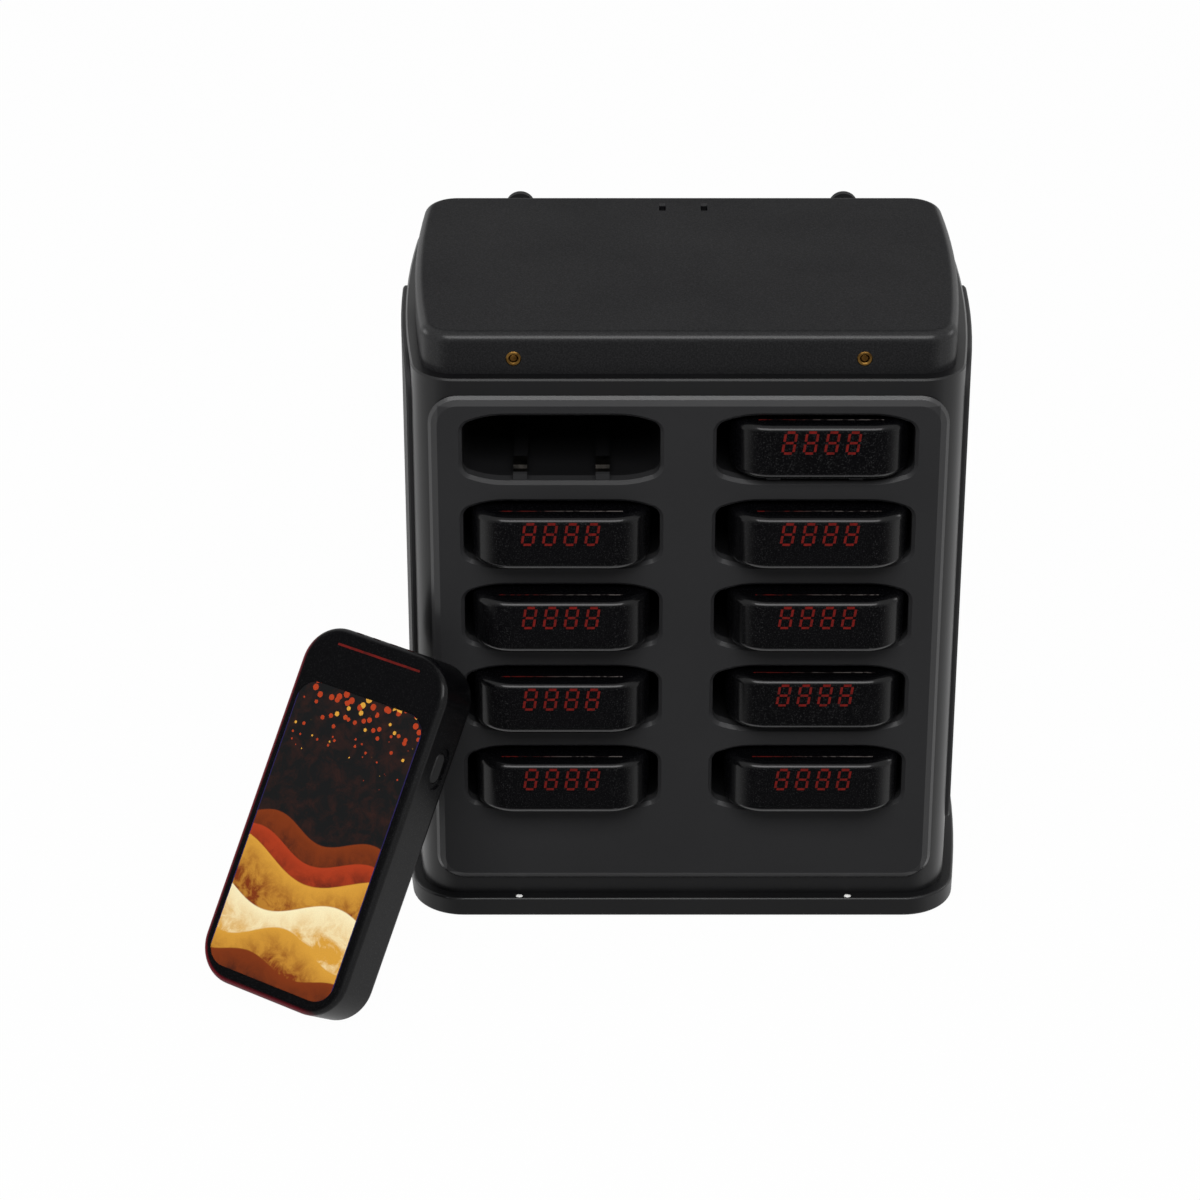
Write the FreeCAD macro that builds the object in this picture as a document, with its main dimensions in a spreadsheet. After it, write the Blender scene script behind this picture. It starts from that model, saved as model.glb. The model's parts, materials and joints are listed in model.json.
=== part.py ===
import FreeCAD, Part
import math
import os
import re

import Sketcher
from FreeCAD import Placement, Rotation, Vector

# Guest pager system: a charging base with ten bays in two columns of five, nine pagers docked
# in them, and one pager that stands loose and leans on the base.
# Frame: millimetres, +Z up, X to the right, Y to the back. The origin is on the surface that
# the feet stand on, under the middle of the housing.

ROWS = 5                     # bays in a column
EMPTY_BAY = ("l", 1)         # the bay at the top left holds no pager
COLUMNS = {"l": -1, "r": 1}  # column letter and the side of the middle that it is on

# ---------------------------------------------------------------- driving dimensions

SIZES = [
    # housing
    ("foot_proud", 1.0, "how far the rubber feet lift the plinth"),
    ("foot_radius", 7.0, "rubber foot"),
    ("foot_sunk", 2.0, "depth of a foot's well in the plinth"),
    ("foot_play", 0.1, "clearance round a foot"),
    ("foot_edge", 0.4, "chamfer round a foot"),
    ("foot_inset", 16.0, "foot centre from the plinth's outline"),
    ("plinth_tall", 6.3, "foot plate"),
    ("plinth_ledge", 3.1, "how far the plinth stands out past the housing"),
    ("plinth_edge", 0.8, "rounding of the plinth's edges"),
    ("plinth_hollow", 3.5, "depth of the recess under the plinth"),
    ("plinth_rim", 24.0, "width of the solid border round that recess"),
    ("body_tall", 172.3, "housing, from the plinth to the rim"),
    ("body_deep", 115.2, "housing, front to back"),
    ("body_half_wide", 83.2, "half the housing where it is widest"),
    ("widest_back", 8.0, "how far behind the middle the housing is widest"),
    ("side_sweep", 432.0, "radius of the bulged sides in plan"),
    ("corner_front", 13.0, "plan radius of the front corners"),
    ("corner_rear", 13.0, "plan radius of the rear corners"),
    ("wall", 2.5, "housing wall"),
    ("rim_edge", 0.5, "chamfer round the rim"),
    ("cover_deep", 14.0, "how far the rear cover reaches forwards"),
    # cap
    ("cap_tall", 12.4, "cap above the rim"),
    ("cap_front_ledge", 4.0, "rim that shows before the cap"),
    ("cap_side_ledge", 2.9, "rim that shows beside the cap"),
    ("cap_rear_ledge", 7.0, "rim that shows behind the cap"),
    ("cap_corner", 10.0, "plan radius of the cap's corners"),
    ("cap_edge", 3.0, "rounding of the cap's top edge"),
    ("cap_wall", 5.0, "side walls of the cap"),
    ("cap_roof", 4.5, "cap above its hollow"),
    ("well_wide", 2.0, "latch well in the cap's top"),
    ("well_long", 5.2, "latch well, front to back"),
    ("well_deep", 3.2, "latch well"),
    ("well_edge", 0.6, "chamfer at a latch well's rear edge"),
    ("well_apart", 12.7, "between the two wells' centres"),
    ("well_back", 9.9, "well centre from the cap's rear"),
    # fascia
    ("panel_side", 8.45, "fascia's side edges from the housing's widest points"),
    ("panel_lift", 5.7, "fascia's lower edge above the housing's lower edge"),
    ("panel_drop", 5.0, "fascia's upper edge below the rim"),
    ("panel_raise", 1.8, "how far the fascia stands out"),
    ("panel_bevel", 1.6, "chamfer round the fascia"),
    ("panel_corner", 8.6, "fascia's corner radius"),
    ("panel_seat", 4.0, "ledge that the fascia's border seats on"),
    ("panel_play", 0.3, "clearance round the plug behind the fascia"),
    # bays
    ("bay_side", 18.1, "mouths from the housing's widest points"),
    ("bay_web", 16.0, "web between the two columns of mouths"),
    ("bay_play", 2.55, "air beside a docked pager"),
    ("bay_above", 1.8, "air above a docked pager"),
    ("bay_top", 10.8, "rim to the top of the first row's mouths"),
    ("bay_low", 31.5, "lowest row's mouths above the housing's lower edge"),
    ("mouth_side", 3.5, "small radius at the mouth's short sides"),
    ("mouth_run", 12.5, "how far a mouth's corner runs along its top"),
    ("mouth_drop", 5.2, "how far a mouth's corner runs down its side"),
    ("mouth_bevel", 1.0, "chamfer round a mouth"),
    ("bay_wall", 1.6, "wall of a pocket"),
    ("bay_end", 5.5, "free length behind a docked pager"),
    ("flange_wall", 2.0, "flange of the pockets behind the fascia"),
    ("flange_rim", 3.0, "flange past the mouths"),
    ("rail_wide", 4.0, "rib on a bay's floor"),
    ("rail_tall", 2.0, "rib on a bay's floor, which the pager slides on"),
    ("rail_apart", 23.8, "between the two ribs"),
    ("tip_start", 1.2, "front of the ribs' tips, from the fascia's face"),
    ("tip_long", 1.4, "tip of a rib, front to back"),
    # charging contacts
    ("contact_back", 5.2, "front of a contact, from the fascia's face"),
    ("contact_long", 6.7, "contact, front to back"),
    ("contact_edge", 0.8, "bevel at a contact's front"),
    ("contact_travel", 0.6, "how far a free contact stands above its ribs"),
    ("contact_gap", 0.3, "between a contact and its ribs"),
    ("board_wall", 1.6, "circuit boards of the base"),
    ("board_margin", 9.0, "main board inside the pockets' outline"),
    ("board_clear", 1.3, "between the main board and the rear cover"),
    ("pillar_radius", 3.0, "pillars that carry the main board"),
    ("pillar_long", 2.0, "pillars that carry the main board"),
    # fittings
    ("fitting_apart", 100.2, "between the two rings, and between the two bumpers"),
    ("fit_play", 0.05, "clearance round the rings and stems"),
    ("fitting_rise", 4.7, "centre of the rings and bumpers above the rim"),
    ("ring_radius", 2.2, "brass ring"),
    ("ring_bore", 1.25, "bore of a brass ring"),
    ("ring_long", 6.0, "brass ring"),
    ("ring_proud", 0.25, "how far a ring stands out of the cap"),
    ("bumper_radius", 4.5, "rear bumper's disc"),
    ("bumper_thick", 2.6, "rear bumper's disc"),
    ("bumper_edge", 0.5, "bevel round a rear bumper"),
    ("bumper_reach", 11.6, "rear face of a bumper behind the cap's rear"),
    ("stem_radius", 2.0, "stem that holds a bumper in the cap"),
    ("stem_inside", 5.0, "stem's length inside the cap"),
    ("screw_radius", 1.4, "cover screw"),
    ("screw_head", 2.8, "cover screw's head radius"),
    ("screw_head_tall", 1.6, "cover screw's head"),
    ("screw_long", 18.0, "cover screw under its head"),
    ("screw_sunk", 1.6, "cover screw's head below the rear cover"),
    ("screw_play", 0.15, "clearance round a screw and the power inlet"),
    ("boss_radius", 4.0, "screw boss"),
    ("boss_inset", 8.8, "boss centre from the inside of the widest flank"),
    ("boss_margin", 14.0, "boss centres from the housing's top and bottom"),
    ("boss_gap", 0.3, "between the front ends of the bosses and the pockets' flanges"),
    ("inlet_radius", 4.2, "power inlet's barrel"),
    ("inlet_bore", 2.8, "power inlet's socket"),
    ("inlet_pin", 1.0, "power inlet's centre pin"),
    ("inlet_socket", 9.5, "depth of the power inlet's socket"),
    ("inlet_side", 48.0, "power inlet's centre to the right of the middle"),
    ("inlet_rise", 19.0, "power inlet's centre above the housing's lower edge"),
    ("inlet_block_wide", 10.4, "power inlet's block"),
    ("inlet_block_tall", 11.6, "power inlet's block"),
    ("inlet_block_deep", 12.0, "power inlet's block"),
    # side pads
    ("pad_proud", 1.4, "side pad"),
    ("pad_low", 14.5, "side pad's lower end above the housing's lower edge"),
    ("pad_high", 1.2, "side pad's upper end below the rim"),
    ("pad_front", 0.4, "side pad's front edge before the front corner's centre"),
    ("pad_rear", 22.6, "side pad's rear edge before the rear corner's centre"),
    ("pad_corner", 12.0, "side pad's corner radius"),
    ("pad_edge", 0.5, "bevel round a side pad"),
    # pager
    ("pager_long", 110.0, "pager"),
    ("pager_thick", 17.0, "pager"),
    ("pager_corner", 12.0, "pager's plan corners"),
    ("pager_edge", 2.2, "rounding of a pager's long edges"),
    ("pager_wall", 2.0, "side walls of a pager"),
    ("pager_skin", 1.6, "face and back of a pager"),
    ("pager_seam", 12.5, "height of the seam between shell and cover"),
    ("lens_run", 13.0, "how far the cover's end lens reaches along the pager"),
    ("lens_foot", 3.2, "height of the end lens's lower edge"),
    ("shift_left", -0.2, "docked pagers of the left column, sideways"),
    ("shift_right", 1.4, "docked pagers of the right column, sideways"),
    ("deep_first", 4.0, "how much deeper the first pager of the right column sits"),
    ("deep_fourth", 2.5, "how much deeper the fourth pager of the right column sits"),
    # inside a pager
    ("post_radius", 2.0, "posts under a pager's board"),
    ("post_side", 8.0, "posts' centres from the pager's sides"),
    ("post_end", 16.0, "posts' centres from the pager's ends"),
    ("post_tall", 3.4, "posts under a pager's board, above the floor"),
    ("pcb_wall", 1.2, "pager's board"),
    ("pcb_gap", 0.4, "clearance round a pager's board"),
    ("pcb_corner", 8.0, "corner radius of a pager's board"),
    ("display_wide", 25.0, "four-figure display"),
    ("display_tall", 9.6, "four-figure display"),
    ("display_deep", 6.0, "four-figure display"),
    ("lens_gap", 0.3, "between the end lens and the display"),
    ("cell_wide", 34.0, "battery"),
    ("cell_long", 46.0, "battery"),
    ("cell_tall", 5.0, "battery"),
    ("cell_corner", 2.0, "battery's corner radius"),
    ("cell_start", 46.0, "battery's front edge from the pager's exposed end"),
    ("motor_radius", 3.0, "vibration motor"),
    ("motor_long", 11.0, "vibration motor"),
    ("motor_gap", 0.1, "between the vibration motor and the board"),
    ("motor_start", 30.0, "vibration motor's centre from the pager's exposed end"),
    ("motor_side", 13.0, "vibration motor's centre beside the pager's middle"),
    ("card_side", 3.3, "label card from the pager's sides"),
    ("card_start", 17.5, "label card from the pager's exposed end"),
    ("card_end", 4.5, "label card from the pager's inner end"),
    ("card_corner", 6.5, "label card's corner radius"),
    ("card_thick", 0.4, "label card, inlaid in the cover's face"),
    ("card_play", 0.1, "clearance round the label card"),
    ("charge_start", 8.0, "charging plates from the pager's exposed end"),
    ("charge_long", 12.0, "charging plates, along the pager"),
    ("charge_wide", 7.0, "charging plates, across the pager"),
    ("charge_play", 0.1, "clearance round a charging plate"),
    ("button_long", 9.0, "side button"),
    ("button_high", 4.4, "side button"),
    ("button_sunk", 0.4, "side button below the pager's side"),
    ("button_play", 0.15, "clearance round the side button"),
    ("button_edge", 0.3, "bevel round the button's face"),
    ("button_travel", 0.8, "how far the button goes in"),
    ("button_stop", 1.0, "flange that keeps the button in"),
    ("button_lip", 0.8, "how far that flange reaches past the button"),
    ("button_place", 30.0, "side button's centre from the pager's exposed end"),
    ("button_rise", 7.2, "side button's centre above the pager's back"),
    ("scoop_long", 13.0, "finger scoop round the button"),
    ("scoop_high", 7.0, "finger scoop round the button"),
    ("scoop_deep", 0.6, "finger scoop round the button"),
    # loose pager
    ("loose_yaw", 34.5, "turn of the loose pager, degrees"),
    ("loose_lean", 35.3, "lean of the loose pager from upright, degrees"),
    ("loose_offset", 2.0, "loose pager's centre line beside the fascia's edge"),
    ("loose_gap", 0.3, "between the loose pager and the base"),
]

# sizes that follow from those above
TIED_SIZES = [
    ("panel_wide", "2 * (body_half_wide - panel_side)", "raised fascia at its foot"),
    ("panel_tall", "body_tall - panel_lift - panel_drop", "raised fascia at its foot"),
    ("bay_wide", "body_half_wide - bay_side - bay_web / 2", "mouth of a bay"),
    ("bay_high", "rail_tall + pager_thick + bay_above", "mouth of a bay"),
    ("column_pitch", "bay_wide + bay_web", "between the two columns"),
    ("bay_pitch", f"(body_tall - bay_top - bay_high - bay_low) / {ROWS - 1}", "between two rows"),
    ("bay_deep", "panel_raise + body_deep - wall - board_clear - board_wall - pillar_long - bay_wall",
     "bay, from the fascia's face to the back of its pocket"),
    ("pager_wide", "bay_wide - 2 * bay_play", "pager"),
    ("pager_proud", "pager_long + bay_end - bay_deep", "docked pager, out of the fascia"),
    ("card_wide", "pager_wide - 2 * card_side", "label card"),
    ("card_long", "pager_long - card_start - card_end", "label card"),
]

# ---------------------------------------------------------------- places, as formulas of the sizes

BODY_BASE = "foot_proud + plinth_tall"
RIM = f"{BODY_BASE} + body_tall"
CAP_TOP = f"{RIM} + cap_tall"
FITTING_LEVEL = f"{RIM} + fitting_rise"
FRONT = "-body_deep / 2"
REAR = "body_deep / 2"
FACE = f"{FRONT} - panel_raise"
PANEL_BACK = f"{FRONT} + wall"
SPLIT = f"{REAR} - cover_deep"
CAP_FRONT = f"{FRONT} + cap_front_ledge"
CAP_REAR = f"{REAR} - cap_rear_ledge"
PANEL_BASE = f"{BODY_BASE} + panel_lift"
TOP_FLOOR = f"{RIM} - bay_top - bay_high"
LOWEST_FLOOR = f"{TOP_FLOOR} - {ROWS - 1} * bay_pitch"
BAY_BACK = f"{FACE} + bay_deep"
STACK_BACK = f"{BAY_BACK} + bay_wall"
CONTACT_FRONT = f"{FACE} + contact_back"
RAIL_FRONT = f"{CONTACT_FRONT} + contact_long + contact_gap"
FLANK_CENTRE = "(body_half_wide - side_sweep)"
PAD_FRONT = f"{FRONT} + corner_front - pad_front"
PAD_REAR = f"{REAR} - corner_rear - pad_rear"

PAGER_INSIDE = "pager_wide / 2 - pager_wall"
BOARD_LOW = "pager_skin + post_tall"
BOARD_TOP = f"{BOARD_LOW} + pcb_wall"
DISPLAY_FRONT = "pager_wall + lens_gap"
BOARD_START = f"{DISPLAY_FRONT} + display_deep"

doc = FreeCAD.newDocument("guest_pager_system")
sheet = doc.addObject("Spreadsheet::Sheet", "Sizes")
parts = []
NAMES = {alias for alias, content, meaning in SIZES + TIED_SIZES}


def fill_sheet():
    """Write every size into the spreadsheet as a number or a formula, with its name as the alias."""
    tied = [(alias, f"={formula}", meaning) for alias, formula, meaning in TIED_SIZES]
    for row, (alias, content, meaning) in enumerate(SIZES + tied, start=1):
        sheet.set(f"A{row}", alias)
        sheet.set(f"B{row}", str(content))
        sheet.set(f"C{row}", meaning)
        sheet.setAlias(f"B{row}", alias)
    doc.recompute()


def link(formula):
    """Turn a formula of plain names into an expression on the spreadsheet."""
    return re.sub(r"[a-z_]+", lambda word: ("Sizes." if word.group() in NAMES else "") + word.group(),
                  formula)


def size(formula):
    """Work a formula of plain names out as a number."""
    result = sheet.evalExpression(link(formula))
    return float(getattr(result, "Value", result))


# ---------------------------------------------------------------- sketches


def new_body(label, kept=True):
    """Start a PartDesign body: a sub-part, or a pattern that other sub-parts repeat."""
    body = doc.addObject("PartDesign::Body", label)
    body.Label = label
    body.AllowCompound = True
    if kept:
        parts.append(body)
    return body


def origin_plane(body, role):
    """Find an origin plane of a body by its role."""
    return next(item for item in body.Origin.OriginFeatures if item.Role == role)


def new_sketch(body, name, plane, offset=None):
    """Attach an empty sketch to an origin plane of its body, moved along the plane's normal."""
    sketch = body.newObject("Sketcher::SketchObject", f"{body.Name}_{name}")
    sketch.AttachmentSupport = [(origin_plane(body, plane), "")]
    sketch.MapMode = "FlatFace"
    if offset is not None:
        sketch.setExpression("AttachmentOffset.Base.z", link(offset))
    return sketch


def bind(sketch, constraint, formula):
    """Add a constraint whose value follows a formula."""
    index = sketch.addConstraint(constraint)
    name = f"c{index}"
    sketch.renameConstraint(index, name)
    sketch.setExpression(f"Constraints.{name}", link(formula))


def place(sketch, axis, geometry, point, formula):
    """Hold one coordinate of a point of the sketch."""
    kind = "DistanceX" if axis == "x" else "DistanceY"
    bind(sketch, Sketcher.Constraint(kind, -1, 1, geometry, point, size(formula)), formula)


def flat(x, y):
    """A point of a sketch."""
    return Vector(x, y, 0)


def circle(sketch, x, y, radius):
    """Add a circle held by its centre and radius."""
    shape = Part.Circle(flat(size(x), size(y)), Vector(0, 0, 1), size(radius))
    index = sketch.addGeometry(shape)
    place(sketch, "x", index, 3, x)
    place(sketch, "y", index, 3, y)
    bind(sketch, Sketcher.Constraint("Radius", index, size(radius)), radius)


def polygon(sketch, points):
    """Add a closed outline of straight lines through points given as pairs of formulas."""
    spots = [flat(size(x), size(y)) for x, y in points]
    first = None
    for index, spot in enumerate(spots):
        line = sketch.addGeometry(Part.LineSegment(spot, spots[(index + 1) % len(spots)]))
        first = line if first is None else first
        place(sketch, "x", line, 1, points[index][0])
        place(sketch, "y", line, 1, points[index][1])
    for index in range(len(spots)):
        following = first + (index + 1) % len(spots)
        sketch.addConstraint(Sketcher.Constraint("Coincident", first + index, 2, following, 1))


def rectangle(sketch, left, right, low, high):
    """Add a rectangle with sharp corners."""
    polygon(sketch, [(left, low), (right, low), (right, high), (left, high)])


def arc(centre, radius, start, end):
    """An arc of a circle between two angles in degrees."""
    ring = Part.Circle(centre, Vector(0, 0, 1), radius)
    return Part.ArcOfCircle(ring, math.radians(start), math.radians(end))


def join_tangent(sketch, chain):
    """Make each piece of a closed chain run smoothly into the next one."""
    for index, (geometry, end) in enumerate(chain):
        following, start = chain[(index + 1) % len(chain)][0], 1
        sketch.addConstraint(Sketcher.Constraint("Tangent", geometry, end, following, start))


def rounded(sketch, left, right, low, high, radius):
    """Add a rectangle with four equal round corners, anticlockwise from its lower side."""
    x0, x1, y0, y1, r = (size(value) for value in (left, right, low, high, radius))
    shapes = [
        Part.LineSegment(flat(x0 + r, y0), flat(x1 - r, y0)),
        arc(flat(x1 - r, y0 + r), r, 270, 360),
        Part.LineSegment(flat(x1, y0 + r), flat(x1, y1 - r)),
        arc(flat(x1 - r, y1 - r), r, 0, 90),
        Part.LineSegment(flat(x1 - r, y1), flat(x0 + r, y1)),
        arc(flat(x0 + r, y1 - r), r, 90, 180),
        Part.LineSegment(flat(x0, y1 - r), flat(x0, y0 + r)),
        arc(flat(x0 + r, y0 + r), r, 180, 270),
    ]
    first = [sketch.addGeometry(shape) for shape in shapes][0]
    join_tangent(sketch, [(first + index, 2) for index in range(8)])
    for side in (0, 4):
        sketch.addConstraint(Sketcher.Constraint("Horizontal", first + side))
    for side in (2, 6):
        sketch.addConstraint(Sketcher.Constraint("Vertical", first + side))
    for corner in (3, 5, 7):
        sketch.addConstraint(Sketcher.Constraint("Equal", first + 1, first + corner))
    bind(sketch, Sketcher.Constraint("Radius", first + 1, r), radius)
    place(sketch, "y", first, 1, low)
    place(sketch, "x", first + 2, 1, right)
    place(sketch, "y", first + 4, 1, high)
    place(sketch, "x", first + 6, 1, left)


def stadium(sketch, x, y, length, height):
    """Add a slot with round ends that lies along the sketch's first axis."""
    half_long, half_high = size(f"({length}) / 2"), size(f"({height}) / 2")
    cx, cy, run = size(x), size(y), half_long - half_high
    shapes = [
        Part.LineSegment(flat(cx - run, cy - half_high), flat(cx + run, cy - half_high)),
        arc(flat(cx + run, cy), half_high, 270, 450),
        Part.LineSegment(flat(cx + run, cy + half_high), flat(cx - run, cy + half_high)),
        arc(flat(cx - run, cy), half_high, 90, 270),
    ]
    first = [sketch.addGeometry(shape) for shape in shapes][0]
    join_tangent(sketch, [(first + index, 2) for index in range(4)])
    sketch.addConstraint(Sketcher.Constraint("Horizontal", first))
    bind(sketch, Sketcher.Constraint("Radius", first + 1, half_high), f"({height}) / 2")
    for side, sign in ((1, "+"), (3, "-")):
        place(sketch, "x", first + side, 3, f"{x} {sign} (({length}) - ({height})) / 2")
    place(sketch, "y", first + 1, 3, y)


def mouth(sketch, x, floor, grow="0"):
    """Add a bay's outline: straight short sides and shallow arcs that run to a flat top and floor.

    grow moves the whole outline outwards, as for the outside of a pocket.
    """
    cx, low, more = size(x), size(floor), size(grow)
    high = low + size("bay_high")
    half, side = size("bay_wide / 2"), size("mouth_side")
    run, drop = size("mouth_run"), size("mouth_drop")
    sweep = ((run - side) ** 2 + drop ** 2 - side ** 2) / (2 * (drop - side))
    turn = math.degrees(math.atan2(run - side, sweep - drop))
    shapes = []
    for across, up in ((1, -1), (1, 1), (-1, 1), (-1, -1)):
        level = low if up < 0 else high
        small = flat(cx + across * (half - side), level - up * drop)
        large = flat(cx + across * (half - run), level - up * sweep)
        # angles are measured from the vertical through the corner, in the corner's own quarter
        steep = {(1, -1): (270, 1), (1, 1): (90, -1), (-1, 1): (90, 1), (-1, -1): (270, -1)}
        upright, sense = steep[across, up]
        outer = sorted((upright, upright + sense * turn))
        inner = sorted((upright + sense * turn, upright + sense * 90))
        pair = [arc(large, sweep + more, *outer), arc(small, side + more, *inner)]
        turned_to_side = (across, up) in ((1, -1), (-1, 1))
        shapes.extend(pair if turned_to_side else reversed(pair))
        end_x, end_y = cx + across * (half + more), cx + across * (half - run)
        if (across, up) == (1, -1):
            shapes.append(Part.LineSegment(flat(end_x, low + drop), flat(end_x, high - drop)))
        elif (across, up) == (1, 1):
            shapes.append(Part.LineSegment(flat(end_y, high + more), flat(2 * cx - end_y, high + more)))
        elif (across, up) == (-1, 1):
            shapes.append(Part.LineSegment(flat(end_x, high - drop), flat(end_x, low + drop)))
        else:
            shapes.append(Part.LineSegment(flat(end_y, low - more), flat(2 * cx - end_y, low - more)))
    first = [sketch.addGeometry(shape) for shape in shapes][0]
    join_tangent(sketch, [(first + index, 2) for index in range(12)])
    right, top, left, bottom = (first + index for index in (2, 5, 8, 11))
    for line in (top, bottom):
        sketch.addConstraint(Sketcher.Constraint("Horizontal", line))
    for line in (right, left):
        sketch.addConstraint(Sketcher.Constraint("Vertical", line))
    for corner in (3, 7, 9):
        sketch.addConstraint(Sketcher.Constraint("Equal", first + 1, first + corner))
    bind(sketch, Sketcher.Constraint("Radius", first + 1, side + more), f"mouth_side + {grow}")
    place(sketch, "x", right, 1, f"{x} + bay_wide / 2 + {grow}")
    place(sketch, "x", left, 1, f"{x} - bay_wide / 2 - {grow}")
    place(sketch, "y", top, 1, f"{floor} + bay_high + {grow}")
    place(sketch, "y", bottom, 1, f"{floor} - {grow}")
    for line, ends in ((right, (1, 2)), (left, (2, 1))):
        place(sketch, "y", line, ends[0], f"{floor} + mouth_drop")
        place(sketch, "y", line, ends[1], f"{floor} + bay_high - mouth_drop")
    for line, ends in ((top, (2, 1)), (bottom, (1, 2))):
        place(sketch, "x", line, ends[0], f"{x} - bay_wide / 2 + mouth_run")
        place(sketch, "x", line, ends[1], f"{x} + bay_wide / 2 - mouth_run")


def side_reach(half, corner, level):
    """Half-width of the corner centres of a plan outline, which its bulged side sets."""
    sweep = half - size(FLANK_CENTRE)
    return size(FLANK_CENTRE) + math.sqrt((sweep - corner) ** 2 - (level - size("widest_back")) ** 2)


def plan_outline(sketch, front, rear, half, corner_front, corner_rear):
    """Add the housing's plan: straight front and rear, bulged sides and four round corners."""
    y0, y1, wide = size(front), size(rear), size(half)
    r0, r1, centre = size(corner_front), size(corner_rear), size(FLANK_CENTRE)
    x0, x1 = side_reach(wide, r0, y0 + r0), side_reach(wide, r1, y1 - r1)
    middle, sweep = size("widest_back"), wide - centre
    low = math.degrees(math.atan2(y0 + r0 - middle, x0 - centre))
    high = math.degrees(math.atan2(y1 - r1 - middle, x1 - centre))
    shapes = [
        Part.LineSegment(flat(-x0, y0), flat(x0, y0)),
        arc(flat(x0, y0 + r0), r0, 270, 360 + low),
        arc(flat(centre, middle), sweep, low, high),
        arc(flat(x1, y1 - r1), r1, high, 90),
        Part.LineSegment(flat(x1, y1), flat(-x1, y1)),
        arc(flat(-x1, y1 - r1), r1, 90, 180 - high),
        arc(flat(-centre, middle), sweep, 180 - high, 180 - low),
        arc(flat(-x0, y0 + r0), r0, 180 - low, 270),
    ]
    first = [sketch.addGeometry(shape) for shape in shapes][0]
    join_tangent(sketch, [(first + index, 2) for index in range(8)])
    for line in (0, 4):
        sketch.addConstraint(Sketcher.Constraint("Horizontal", first + line))
    place(sketch, "y", first, 1, front)
    place(sketch, "y", first + 4, 1, rear)
    for index, formula in ((1, corner_front), (7, corner_front), (3, corner_rear), (5, corner_rear)):
        bind(sketch, Sketcher.Constraint("Radius", first + index, size(formula)), formula)
    for index, sign in ((2, ""), (6, "-")):
        bind(sketch, Sketcher.Constraint("Radius", first + index, sweep), f"{half} - ({FLANK_CENTRE})")
        place(sketch, "x", first + index, 3, f"{sign}({FLANK_CENTRE})")
        place(sketch, "y", first + index, 3, "widest_back")


def body_outline(sketch, inset):
    """Add the housing's own plan outline, moved inwards."""
    plan_outline(sketch, f"{FRONT} + {inset}", f"{REAR} - ({inset})", f"body_half_wide - ({inset})",
                 f"corner_front - ({inset})", f"corner_rear - ({inset})")


def cap_outline(sketch, inset):
    """Add the cap's plan outline, moved inwards."""
    plan_outline(sketch, f"{CAP_FRONT} + {inset}", f"{CAP_REAR} - ({inset})",
                 f"body_half_wide - cap_side_ledge - ({inset})",
                 f"cap_corner - ({inset})", f"cap_corner - ({inset})")


# ---------------------------------------------------------------- features


def pad(body, sketch, length, reverse=False):
    """Raise a sketch into a solid."""
    feature = body.newObject("PartDesign::Pad", f"{sketch.Name}_pad")
    feature.Profile = sketch
    feature.setExpression("Length", link(length))
    feature.Reversed = reverse
    return feature


def pocket(body, sketch, length, reverse=False):
    """Cut a sketch into the solid and make sure that it takes something away."""
    doc.recompute()
    before = body.Shape.Volume
    feature = body.newObject("PartDesign::Pocket", f"{sketch.Name}_pocket")
    feature.Profile = sketch
    feature.setExpression("Length", link(length))
    feature.Reversed = reverse
    doc.recompute()
    if not body.Shape.Volume < before - 0.01:
        raise ValueError(f"{feature.Name} cuts nothing")
    return feature


def cut_through(body, sketch):
    """Cut a sketch right through, both ways."""
    doc.recompute()
    before = body.Shape.Volume
    feature = body.newObject("PartDesign::Pocket", f"{sketch.Name}_through")
    feature.Profile = sketch
    feature.Type = "ThroughAll"
    feature.Midplane = True
    doc.recompute()
    if not body.Shape.Volume < before - 0.01:
        raise ValueError(f"{feature.Name} cuts nothing")
    return feature


def edges_where(body, test):
    """Names of the edges of a body's solid that pass a test of their middle point."""
    names = []
    for index, edge in enumerate(body.Tip.Shape.Edges, start=1):
        middle = edge.valueAt((edge.FirstParameter + edge.LastParameter) / 2)
        if test(edge, middle):
            names.append(f"Edge{index}")
    return names


def near(value, level):
    """Whether two coordinates agree."""
    return abs(value - level) < 0.01


def dress(body, kind, formula, test):
    """Round or chamfer the edges that pass a test."""
    doc.recompute()
    base = body.Tip
    names = edges_where(body, test)
    if not names:
        raise ValueError(f"{body.Name} has no edge for {formula}")
    feature = body.newObject(f"PartDesign::{kind}", f"{body.Name}_{formula}")
    feature.Base = (base, names)
    feature.setExpression("Radius" if kind == "Fillet" else "Size", link(formula))
    doc.recompute()
    return feature


def repeat_rows(body, features, sketch, rows=ROWS):
    """Repeat features from the lowest row upwards, along the sketch's vertical axis."""
    feature = body.newObject("PartDesign::LinearPattern", f"{sketch.Name}_rows")
    feature.Originals = features
    feature.Direction = (sketch, ["V_Axis"])
    feature.setExpression("Length", link(f"{rows - 1} * bay_pitch"))
    feature.Occurrences = rows
    body.Tip = feature
    doc.recompute()
    return feature


# ---------------------------------------------------------------- housing


def boss_places():
    """Centres of the four screw bosses, as formulas of X and Z."""
    reach = "body_half_wide - wall - boss_inset"
    return [(f"{sign}({reach})", level)
            for sign in ("-", "")
            for level in (f"{BODY_BASE} + boss_margin", f"{RIM} - boss_margin")]


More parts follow.
